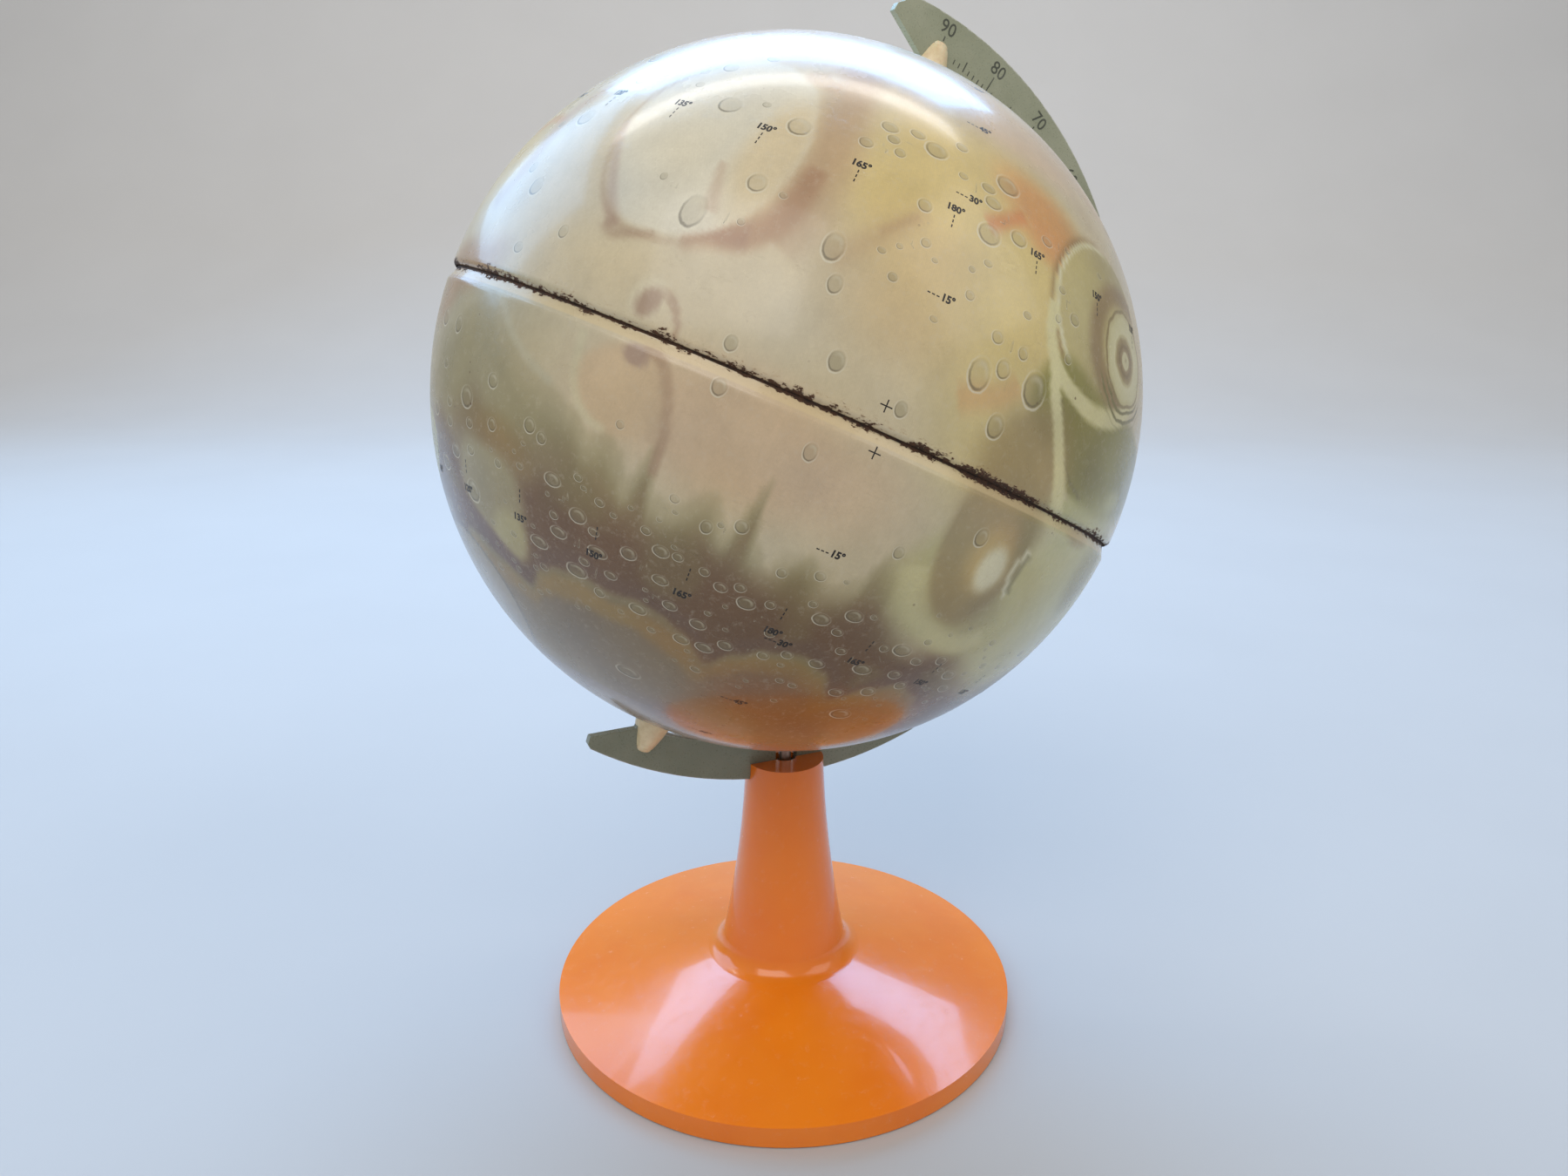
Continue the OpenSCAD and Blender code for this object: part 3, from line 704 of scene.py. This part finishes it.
def apart(c, other):
    """Degrees between the middles of two craters."""
    flat = math.cos(math.radians(c[1]))
    return math.hypot(((c[0] - other[0] + 180) % 360 - 180) * flat, c[1] - other[1])


def crater_layers(craters, lon, lat):
    """Per layer and vertex: place across the nearest crater in units of its size, and how much it shows."""
    layers = [[], [], []]
    reach = [1.35 * max(c[2], c[3]) + CRATER_SPACE for c in craters]
    for i, c in enumerate(craters):
        for layer in layers:
            if all(apart(c, craters[j]) > reach[i] + reach[j] for j in layer):
                layer.append(i)
                break
    made = []
    for layer in layers:
        best = np.full(len(lon), 1e9)
        ab = np.full((len(lon), 3), FAR_OFF)
        ab[:, 2] = 0
        for i in layer:
            c = craters[i]
            near = np.abs(lat - c[1]) < 3 * reach[i] + 2
            dx = ((lon[near] - c[0] + 180) % 360 - 180) * np.cos(np.radians(lat[near]))
            dy = lat[near] - c[1]
            d = np.hypot(dx, dy)
            idx = np.flatnonzero(near)
            hit = d - reach[i] < best[idx]
            best[idx[hit]] = (d - reach[i])[hit]
            ab[idx[hit], 0], ab[idx[hit], 1] = dx[hit] / c[2], dy[hit] / c[3]
            ab[idx[hit], 2] = np.where(d[hit] < reach[i], 0.28 + 0.72 * c[4], 0)
        made.append(ab)
    return made


# ---------------------------------------------------------------- the two tinplate halves
AROUND = 500
NORTH_ROWS, SOUTH_ROWS, INNER_ROWS = 172, 168, 14
ROLL_OUT_ROWS, ROLL_IN_ROWS = 9, 5


def arc(radius, lats):
    """(radius, height, latitude) rows on a ball of that radius."""
    return [(radius * math.cos(math.radians(lat)), radius * math.sin(math.radians(lat)), lat)
            for lat in lats]


def ball_profile(north):
    """Closed (radius, height, printed latitude) loop of a half about the spin axis, mm."""
    hole = 90 - math.degrees(math.asin(HOLE_R / BALL_R))
    inner = BALL_R - SHEET_T
    if north:
        rows = arc(BALL_R, np.linspace(hole, math.degrees(math.asin(ROLL_Z / BALL_R)), NORTH_ROWS))
        end = math.radians(ROLL_END)
        for a in np.linspace(0, end, ROLL_OUT_ROWS)[1:]:
            rows.append((BALL_R - ROLL_R + ROLL_R * math.cos(a), ROLL_Z - ROLL_R * math.sin(a), -0.2 - a))
        roll = ROLL_R - SHEET_T
        for a in np.linspace(end, 0, ROLL_IN_ROWS):
            rows.append((BALL_R - ROLL_R + roll * math.cos(a), ROLL_Z - roll * math.sin(a), -1.2))
        return rows + arc(inner, np.linspace(0.6, hole, INNER_ROWS))
    lap_z = -SEAM_DROP - 0.5
    lap_top = LAP_H - SEAM_DROP
    edge_z = lap_z - BAND_W
    lat_edge = math.degrees(math.asin(edge_z / BALL_R))
    edge_r = BALL_R * math.cos(math.radians(lat_edge))
    rows = [(LAP_R - SHEET_T, lap_top, 0), (LAP_R, lap_top, 0), (LAP_R, 0.0, 0),
            (LAP_R, lap_z + 0.12, -1.4)]
    for t in (0.02, 0.08, 0.2, 0.35, 0.5, 0.65, 0.8, 0.9, 0.95):
        rows.append((LAP_R + (edge_r - LAP_R) * t, lap_z + (edge_z - lap_z) * t, -1.5 - 1.6 * t))
    rows += arc(BALL_R, np.linspace(lat_edge - 0.02, -hole, SOUTH_ROWS))
    rows += arc(inner, np.linspace(-hole, math.degrees(math.asin(edge_z / inner)), INNER_ROWS))
    return rows + [(LAP_R - SHEET_T, lap_z, -1.2)]


def ring_mesh(name, points, n):
    """A closed mesh of n rings of AROUND points each, mm, with the last ring joined to the first."""
    i = np.arange(n)[:, None] * AROUND
    j = np.arange(AROUND)[None, :]
    next_i = ((np.arange(n) + 1) % n)[:, None] * AROUND
    next_j = (j + 1) % AROUND
    quads = np.stack([i + j, next_i + j, next_i + next_j, i + next_j], -1).reshape(-1, 4)
    me = bpy.data.meshes.new(name)
    me.vertices.add(len(points))
    me.vertices.foreach_set("co", (points * MM).astype(np.float32).ravel())
    me.loops.add(quads.size)
    me.loops.foreach_set("vertex_index", quads.astype(np.int32).ravel())
    me.polygons.add(len(quads))
    me.polygons.foreach_set("loop_start", np.arange(0, quads.size, 4, dtype=np.int32))
    me.polygons.foreach_set("use_smooth", np.ones(len(quads), bool))
    me.update()
    me.validate()
    bm = bmesh.new()
    bm.from_mesh(me)
    bmesh.ops.recalc_face_normals(bm, faces=bm.faces)
    bm.to_mesh(me)
    bm.free()
    return me


def point_data(me, name, rows, kind="FLOAT_VECTOR", field="vector"):
    """Gives every vertex the values of its row under that name."""
    me.attributes.new(name, kind, "POINT").data.foreach_set(field, rows.astype(np.float32).ravel())


def hemisphere(name, north, mat):
    """One printed half of the ball, with its colours and craters as vertex data."""
    rows = np.array(ball_profile(north))
    lons = np.tile(np.arange(AROUND) * 360 / AROUND - 180, len(rows))
    r, z, lats = (np.repeat(rows[:, k], AROUND) for k in range(3))
    c, s = np.cos(np.radians(lons)), np.sin(np.radians(lons))
    # small dents and nicks where the two edges meet, pushed inwards only
    unit = np.stack([c, s, z / BALL_R], 1)
    edge_z, reach = (-1.3, 0.9) if north else (-2.0, 0.7)
    dent = np.clip(waves(unit, 5, 31) + 0.6 * waves(unit, 1.7, 32, 40), 0, 2)
    r = r - np.exp(-((z - edge_z) / reach) ** 2) * dent * DENT_DEPTH
    local = np.stack([r * c, r * s, z], 1)
    world = (CENTRE + np.outer(local[:, 0], FRONT) + np.outer(local[:, 1], EAST)
             + np.outer(local[:, 2], AXIS))
    me = ring_mesh(name, world, len(rows))
    # printed colours and craters
    map_lon = (lons - MAP_TURN + 180) % 360 - 180
    rgb = paint_map(map_lon, lats) / 255
    linear = np.where(rgb <= 0.04045, rgb / 12.92, ((rgb + 0.055) / 1.055) ** 2.4)
    point_data(me, "map", np.hstack([linear, np.ones((len(linear), 1))]), "FLOAT_COLOR", "color")
    point_data(me, "gp", local)
    mine = [k for k in ALL_CRATERS if (k[1] > -3) == north or abs(k[1]) < 4]
    for tag, place in zip(CRATER_LAYERS, crater_layers(mine, map_lon, lats)):
        point_data(me, tag, place)
    dx, dy = np.full(len(map_lon), FAR_OFF), np.full(len(map_lon), FAR_OFF)
    if north:
        dx = (((map_lon - CONE_AT[0] + 180) % 360 - 180) * np.cos(np.radians(lats))) / CONE_SIZE[0]
        dy = (lats - CONE_AT[1]) / CONE_SIZE[1]
    point_data(me, "mount", np.stack([dx, dy, 0 * dx], 1))
    me.materials.append(mat)
    o = bpy.data.objects.new(name, me)
    bpy.context.scene.collection.objects.link(o)
    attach(o, "globe")
    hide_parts("north_hemisphere" if north else "south_hemisphere")


def printed_craters(g, p, col, tag):
    """Drawn rims and floors of one layer of craters."""
    a, b, w = g.split(g.attr(tag, out=1))
    rag = g.noise(p, 0.9, 2, 0.5)
    el2 = g.add(g.mul(a, a), g.mul(b, b))
    el = g.add(g.math("SQRT", el2), g.math("MULTIPLY_ADD", rag, 0.16, -0.08))
    side = g.math("DIVIDE", g.add(g.mul(a, 0.42), g.mul(b, 0.9)), g.math("MAXIMUM", el, 0.2))
    shown = g.span(w, 0.02, 0.3)
    floor = g.mul(g.soft(el, 0.98, 0.72), g.mul(w, 0.5))
    dark = g.mul(g.soft(g.gap(el, 0.88), 0.15, 0.02), g.mul(g.span(side, -0.9, 0.7, 1.0, 0.07), shown))
    light = g.mul(g.soft(g.gap(el, 1.07), 0.12, 0.02), g.mul(g.span(side, -0.9, 0.8, 0.9, 0.14), shown))
    lit = g.mul(g.soft(g.gap(el, 0.62), 0.3, 0.0), g.mul(g.span(side, 0.0, 0.9, 0.0, 0.42), shown))
    col = g.mix(floor, col, (0.215, 0.19, 0.10, 1))
    col = g.mix(lit, col, (0.62, 0.56, 0.40, 1))
    col = g.mix(g.mul(dark, 0.72), col, (0.10, 0.085, 0.052, 1))
    return g.mix(g.mul(light, 0.85), col, (0.68, 0.63, 0.48, 1))


# middle of the seam and of the pale band under it, mm below the equator
SEAM_MID, BAND_MID = 1.62, 2.7
# colours of the rings by how far out they lie
RING_COLOURS = [
    (0.0, (176, 164, 124)), (0.07, (206, 198, 156)), (0.15, (210, 202, 160)), (0.21, (158, 138, 98)),
    (0.30, (138, 118, 80)), (0.42, (160, 142, 98)), (0.50, (196, 184, 138)), (0.56, (216, 209, 166)),
    (0.78, (210, 203, 158)), (0.90, (198, 188, 140)), (0.95, (150, 132, 88)), (1.0, (136, 122, 78))]


def mountain_rings(g, p, col):
    """Uneven rings round the mouth of the great mountain."""
    mt = g.attr("mount", out=1)
    ring = g.vec("LENGTH", mt, out=1)
    wav = g.noise(p, 0.13, 3, 0.5)
    ring = g.add(ring, g.math("MULTIPLY_ADD", wav, 0.34, -0.17))
    ramp = g.tree.nodes.new("ShaderNodeValToRGB")
    ramp.color_ramp.interpolation = "EASE"
    el = ramp.color_ramp.elements
    while len(el) < len(RING_COLOURS):
        el.new(0.5)
    for e, (at, c) in zip(el, RING_COLOURS):
        e.position, e.color = at, srgb(*c)
    g.put(ramp.inputs[0], ring)
    col = g.mix(g.soft(ring, 1.02, 0.97), col, ramp.outputs[0])
    low = g.mul(g.soft(g.split(mt)[1], -0.5, -0.85), g.soft(ring, 1.5, 1.3))
    rings = g.mul(g.math("SINE", g.mul(ring, 36.0)), 0.5)
    return g.mix(g.mul(g.mul(low, g.span(ring, 0.9, 1.0)), g.span(rings, -0.1, 0.4)), col,
                 srgb(124, 118, 72))


def seam_rust(g, p, z, col):
    """Rust and grime in the seam, spreading a little over both edges: colour, where it is, its flakes."""
    lift = g.add(z, SEAM_MID)
    tilt = g.math("MAXIMUM", g.mul(lift, 0.8), g.mul(lift, -1.5))
    blot = g.noise(g.vec("MULTIPLY", p, (1.0, 1.0, 1.6)), 0.11, 5, 0.62)
    flake = g.noise(g.vec("MULTIPLY", p, (1.0, 1.0, 2.2)), 0.9, 6, 0.7)
    spread = g.add(g.span(blot, 0.40, 0.61, -0.18, 1.0), g.math("MULTIPLY_ADD", flake, 4.6, -2.3))
    rust = g.soft(g.math("SUBTRACT", tilt, spread), 0.10, -0.08)
    slot = g.soft(tilt, 0.34, 0.18)
    rusty = g.mix(g.span(flake, 0.35, 0.65), (0.014, 0.008, 0.005, 1), (0.10, 0.042, 0.018, 1))
    band = g.mul(g.soft(g.math("ABSOLUTE", g.add(z, BAND_MID)), 1.0, 0.6), 0.5)
    col = g.mix(band, col, srgb(214, 190, 142))
    col = g.mix(g.mul(g.span(flake, 0.56, 0.68), g.mul(g.span(tilt, 2.4, 0.4), 0.5)), col,
                srgb(150, 104, 62))
    halo = g.soft(g.math("SUBTRACT", tilt, spread), 0.6, 0.0)
    col = g.mix(g.mul(halo, 0.3), col, srgb(138, 92, 52))
    damage = g.math("MAXIMUM", rust, slot)
    return g.mix(damage, col, rusty), damage, flake


def printed_tin():
    """Printed and lacquered tinplate."""
    g = Graph("lacquered_litho_tin")
    p = g.attr("gp", out=1)
    base = g.attr("map", out=0)
    z = g.split(p)[2]
    col = mountain_rings(g, p, base)
    for tag in CRATER_LAYERS:
        col = printed_craters(g, p, col, tag)
    # airbrush stipple and fine print lines
    grain = g.noise(p, 1.6, 5, 0.75)
    col = g.mix(g.span(grain, 0.30, 0.72, 0.0, 0.20), col, (0.26, 0.19, 0.12, 1))
    pale = g.noise(p, 0.8, 5, 0.7)
    col = g.mix(g.mul(g.span(pale, 0.54, 0.75), 0.16), col, (0.80, 0.73, 0.57, 1))
    lines = g.node("TexWave", {"Vector": p, "Scale": 1.7, "Distortion": 1.2, "Detail": 2.0,
                               "Detail Scale": 0.5}, out=1, wave_type="BANDS", bands_direction="DIAGONAL")
    col = g.mix(g.mul(g.span(lines, 0.35, 0.8), 0.05), col, (0.16, 0.12, 0.08, 1))
    col, damage, flake = seam_rust(g, p, z, col)
    # specks, scuffs and fine scratches in the lacquer
    speck = g.node("TexVoronoi", {"Vector": p, "Scale": 0.22, "Randomness": 1.0}, feature="F1")
    speck = g.mul(g.span(speck, 0.07, 0.045), g.span(g.noise(p, 0.05, 2), 0.55, 0.6))
    col = g.mix(g.mul(speck, 0.75), col, srgb(96, 70, 46))
    scr = g.noise(g.vec("MULTIPLY", g.vec("ADD", p, (9.0, 4.0, 2.0)), (1.2, 0.2, 3.0)), 0.5, 5, 0.55,
                  distortion=0.6)
    hair = g.mul(g.span(g.gap(scr, 0.5), 0.004, 0.001), g.span(g.noise(p, 0.06, 2), 0.54, 0.62))
    smear = g.noise(p, 0.045, 5, 0.6)
    rough = g.add(g.span(smear, 0.32, 0.7, 0.20, 0.33), g.mul(damage, 0.5))
    rough = g.add(rough, g.mul(hair, 0.12))
    height = g.add(g.mul(flake, damage), g.mul(hair, -0.05))
    nrm = g.bump(height, 0.7, 0.0004)
    nrm = g.bump(g.add(g.mul(lines, 0.2), g.mul(grain, 2.0)), 0.05, 0.00006, nrm)
    nrm = g.bump(g.noise(p, 0.03, 2, 0.5), 0.12, 0.002, nrm)
    coat = g.span(damage, 0.3, 0.0, 0.0, 0.3)
    return g.set(color=col, rough=rough, normal=nrm, coat=coat, coat_rough=0.10, ior=1.46)


ALL_CRATERS = crater_list()
M_TIN = printed_tin()
hemisphere("north_hemisphere_print", True, M_TIN)
hemisphere("south_hemisphere_print", False, M_TIN)


# ---------------------------------------------------------------- printed figures
# inner and outer face of the ink against the surface; figure heights
INK_LOW, INK_HIGH = -0.03, 0.012
LABEL_H, SCALE_H = 1.3, 2.8
LABEL_BOLD, SCALE_BOLD = 0.06, 0.008
CAP_PART = 0.7
# the globe's figures: longitudes of the first figure and of the latitude column, and their latitudes
FIRST_LON, COLUMN_LON = -12.8, -13.4
LON_ROW = {True: 29.7, False: -31.2}
LAT_ROWS = {True: ((17.1, "15"), (32.3, "30"), (47.0, "45"), (62.0, "60")),
            False: ((-17.5, "15"), (-32.7, "30"), (-47.4, "45"), (-62.4, "60"))}
CROSS_AT = {True: (0.3, 2.0), False: (1.3, -3.7)}
CROSS_HALF, CROSS_GAP = 1.1, 0.08
PRINT_W = 0.22
# dashes under the longitudes (degrees, then mm) and before the latitudes (mm), and the figures' offset
DASH_LAT, DASH_STEP, DASH_L = 28.7, 0.75, 0.6
SIDE_STEP, SIDE_L = 0.85, 0.55
FIGURE_ASIDE = 2.9
# the arm's scale: where ticks start and end about the ball's centre, and their widths
TICK_START, ZERO_START, TICK_END, FIVE_END = 82.4, 85.2, 83.5, 84.7
TICK_W, LONG_TICK_W = 0.25, 0.30
FIGURE_R, FIGURE_IN, FIGURE_HALF = 88.2, 2.0, 1.9


def ink(name, colour, chip):
    g = Graph(name)
    p = g.coords()
    worn = g.noise(p, chip, 5, 0.7)
    col = g.mix(g.span(worn, 0.52, 0.72, 0.0, 0.55), srgb(*colour), srgb(*[c + 52 for c in colour]))
    return g.set(color=col, rough=g.span(worn, 0.3, 0.7, 0.30, 0.46), normal=g.bump(worn, 0.15, 0.00005))


def glyphs(text, height, bold):
    """Flat outline faces of a number in mm, centred, with the built-in font."""
    curve = bpy.data.curves.new("glyph", "FONT")
    curve.body = text
    curve.size = height / CAP_PART
    curve.align_x = "CENTER"
    curve.resolution_u = 3
    curve.offset = height * bold
    o = bpy.data.objects.new("glyph", curve)
    bpy.context.scene.collection.objects.link(o)
    me = bpy.data.meshes.new_from_object(o.evaluated_get(bpy.context.evaluated_depsgraph_get()))
    bpy.data.objects.remove(o)
    bpy.data.curves.remove(curve)
    bm = bmesh.new()
    bm.from_mesh(me)
    bmesh.ops.remove_doubles(bm, verts=bm.verts, dist=1e-4)
    bmesh.ops.triangulate(bm, faces=bm.faces)
    bm.verts.index_update()
    pts = np.array([v.co[:2] for v in bm.verts]) - (0, height / 2)
    tris = [[v.index for v in (f.verts if f.normal.z > 0 else reversed(f.verts))] for f in bm.faces]
    bm.free()
    bpy.data.meshes.remove(me)
    return pts, tris


def bar(x0, y0, x1, y1, w):
    """A short printed line as two triangles."""
    d = np.array((x1 - x0, y1 - y0), float)
    s = np.array((-d[1], d[0])) / np.linalg.norm(d) * w / 2
    a, b = np.array((x0, y0)), np.array((x1, y1))
    return np.array([a - s, b - s, b + s, a + s]), [[0, 1, 2], [0, 2, 3]]


class Sheet:
    """Collects artwork as closed thin solids; a function takes (x, y, height) to world mm."""

    def __init__(self):
        self.verts, self.faces = [], []

    def add(self, art, place):
        pts, tris = art
        n, base = len(pts), len(self.verts)
        for h in (INK_LOW, INK_HIGH):
            self.verts.extend(place(pts[:, 0], pts[:, 1], h))
        edges = {}
        for t in tris:
            self.faces.append([base + n + i for i in t])
            self.faces.append([base + i for i in reversed(t)])
            for i in range(3):
                edges[(t[i], t[(i + 1) % 3])] = True
        for a, b in edges:
            if (b, a) not in edges:
                self.faces.append([base + a, base + b, base + n + b, base + n + a])


def on_ball(lon0, lat0):
    la, lo = math.radians(lat0), math.radians(lon0 + MAP_TURN)

    def place(x, y, h):
        lat = la + np.asarray(y) / BALL_R
        lon = lo + np.asarray(x) / (BALL_R * math.cos(la))
        r = BALL_R + h
        p = (np.outer(r * np.cos(lat) * np.cos(lon), FRONT) + np.outer(r * np.cos(lat) * np.sin(lon), EAST)
             + np.outer(r * np.sin(lat), AXIS))
        return list(CENTRE + p)
    return place


def globe_numbers(north, mat):
    """Longitudes each 15 degrees, four columns of latitudes and the crosses by the seam, on one half."""
    sheet = Sheet()
    side = 1 if north else -1
    cache = {}

    def number(text, lon, lat):
        if text not in cache:
            cache[text] = glyphs(text, LABEL_H, LABEL_BOLD)
        sheet.add(cache[text], on_ball(lon, lat))

    for k in range(24):
        lon = FIRST_LON + 15 * k
        number(str(abs((15 * k) % 360 - 180)) + "°", lon, LON_ROW[north])
        for i in range(3):
            a = DASH_LAT - DASH_STEP * i
            sheet.add(bar(0, 0, 0, -side * DASH_L, PRINT_W), on_ball(lon, side * (a if north else a + 0.2)))
    for k in range(4):
        lon = COLUMN_LON + 90 * k
        for lat, text in LAT_ROWS[north]:
            number(text + "°", lon + FIGURE_ASIDE / math.cos(math.radians(lat)), lat + 0.2)
            for i in range(3):
                sheet.add(bar(SIDE_STEP * i, 0, SIDE_STEP * i + SIDE_L, 0, PRINT_W), on_ball(lon, lat))
        cross = on_ball(lon + CROSS_AT[north][0], CROSS_AT[north][1])
        sheet.add(bar(-CROSS_HALF, 0, CROSS_HALF, 0, PRINT_W), cross)
        sheet.add(bar(0, CROSS_GAP, 0, CROSS_HALF, PRINT_W), cross)
        sheet.add(bar(0, -CROSS_HALF, 0, -CROSS_GAP, PRINT_W), cross)
    new_mesh("north_print_numbers" if north else "south_print_numbers", sheet.verts, sheet.faces, mat,
             "globe")


def on_arm(angle, face):
    """Places artwork on the arm's front (-1) or back (1) face, at an angle down from the north pivot."""
    a = math.radians(angle + TILT)
    radial = np.array((math.sin(a), 0, math.cos(a)))
    along = np.array((math.cos(a), 0, -math.sin(a))) * -face

    def place(x, y, h):
        return list(CENTRE + np.outer(np.asarray(y), radial) + np.outer(np.asarray(x), along)
                    + np.array((0, face * (ARM_T / 2 + h), 0)))
    return place


def arm_scale(mat):
    """Ticks each degree and numbers each ten, from 90 by the north pivot down to 0 at the equator."""
    for tag, face in (("front", -1), ("back", 1)):
        sheet = Sheet()
        for deg in (0, *range(3, 91)):
            a = math.radians(deg + TILT)
            rim = ARM_SHIFT * math.sin(a) + math.sqrt(ARM_OUT ** 2 - (ARM_SHIFT * math.cos(a)) ** 2)
            mid = min(FIGURE_R, rim - FIGURE_IN)
            start = TICK_START if deg else ZERO_START
            top = mid - FIGURE_HALF if deg % 10 == 0 else FIVE_END if deg % 5 == 0 else TICK_END
            width = LONG_TICK_W if deg % 5 == 0 else TICK_W
            sheet.add(bar(0, start, 0, top, width), on_arm(deg, face))
            if deg % 10 == 0:
                pts, tris = glyphs(str(90 - deg), SCALE_H, SCALE_BOLD)
                sheet.add((pts + (0, mid), tris), on_arm(deg, face))
        new_mesh("arm_scale_" + tag, sheet.verts, sheet.faces, mat, "stand")


M_PRINT = ink("brown_black_print", (32, 26, 22), 0.5)
M_SCALE = ink("dark_scale_print", (74, 76, 64), 0.35)
globe_numbers(True, M_PRINT)
globe_numbers(False, M_PRINT)
arm_scale(M_SCALE)


# ---------------------------------------------------------------- eased edges on the CAD arm
def ease(node, width):
    """Small bevels on the corners of a CAD piece, as modifiers."""
    weld = node.modifiers.new("weld", "WELD")
    weld.merge_threshold = 0.002 * MM
    flat = node.modifiers.new("flat", "DECIMATE")
    flat.decimate_type = "DISSOLVE"
    flat.angle_limit = math.radians(0.6)
    bevel = node.modifiers.new("eased", "BEVEL")
    bevel.width = width * MM
    bevel.segments = 2
    bevel.limit_method = "ANGLE"
    bevel.angle_limit = math.radians(EASE_ANGLE)
    bevel.harden_normals = True


ease(nodes["meridian_arm"], ARM_EDGE)


# ---------------------------------------------------------------- studio: floor, backdrop, soft lights
FLOOR_HALF, FLOOR_NEAR, SWEEP_AT, SWEEP_R, WALL_TOP = 4.0, -2.5, 0.9, 0.8, 3.0
WORLD_LIGHT = 0.46
OBJECT_MID = Vector((0, 0, 0.13))
TURN = Matrix.Rotation(math.radians(CAM_AZ), 3, "Z")


def floor_and_backdrop():
    """One pale sheet that runs up behind the object, metres, square to the camera."""
    g = Graph("pale_floor")
    p = g.coords(1.0)
    g.set(color=g.mix(g.noise(p, 9.0, 3), (0.45, 0.445, 0.44, 1), (0.48, 0.475, 0.47, 1)), rough=0.7)
    rows = [(FLOOR_NEAR, 0.0)]
    for t in np.linspace(0, math.pi / 2, 24):
        rows.append((SWEEP_AT + SWEEP_R * math.sin(t), SWEEP_R - SWEEP_R * math.cos(t)))
    rows.append((SWEEP_AT + SWEEP_R, WALL_TOP))
    verts = [TURN @ Vector((x, y, z)) for y, z in rows for x in (-FLOOR_HALF, FLOOR_HALF)]
    me = bpy.data.meshes.new("floor")
    me.from_pydata(verts, [], [(2 * i, 2 * i + 1, 2 * i + 3, 2 * i + 2) for i in range(len(rows) - 1)])
    me.polygons.foreach_set("use_smooth", [True] * len(me.polygons))
    me.materials.append(g.mat)
    floor = bpy.data.objects.new("floor", me)
    bpy.context.scene.collection.objects.link(floor)


def area(name, away, aim, size, watts, colour):
    """A soft rectangular light at aim + away, looking back at aim, metres."""
    data = bpy.data.lights.new(name, "AREA")
    data.shape = "RECTANGLE"
    data.size, data.size_y = size
    data.energy = watts
    data.color = colour
    o = bpy.data.objects.new(name, data)
    o.location = aim + away
    o.rotation_mode = "QUATERNION"
    o.rotation_quaternion = away.to_track_quat("Z", "Y")
    o.visible_camera = False
    bpy.context.scene.collection.objects.link(o)


def seen_from(azimuth, elevation, distance):
    """Offset from the object; azimuth in degrees from the camera's side."""
    a, e = math.radians(CAM_AZ + azimuth), math.radians(elevation)
    return Vector((math.sin(a) * math.cos(e), -math.cos(a) * math.cos(e), math.sin(e))) * distance


def studio():
    floor_and_backdrop()
    world = bpy.data.worlds.new("studio")
    world.use_nodes = True
    world.node_tree.nodes["Background"].inputs[0].default_value = (0.98, 0.99, 1.0, 1)
    world.node_tree.nodes["Background"].inputs[1].default_value = WORLD_LIGHT
    bpy.context.scene.world = world
    for name, azimuth, elevation, distance, size, watts, colour in (
            ("window_back", 177, 46, 1.0, (0.88, 0.36), 8.8, (0.26, 0.56, 1.0)),
            ("window_left", -124, 33, 1.1, (0.8, 0.6), 4.8, (0.34, 0.62, 1.0)),
            ("front_fill", -22, 48, 1.3, (1.0, 0.9), 7.5, (1.0, 0.98, 0.95)),
            ("right_fill", 70, 38, 1.5, (0.9, 0.9), 3.5, (1.0, 0.97, 0.93))):
        area(name, seen_from(azimuth, elevation, distance), OBJECT_MID, size, watts, colour)
    wall = TURN @ Vector((0, 1.7, 0.9))
    above = (TURN @ Vector((0, 0.9, 1.9)) - wall).normalized() * 1.35
    area("wall_wash", above, wall, (2.4, 0.5), 26, (1.0, 0.98, 0.95))


studio()
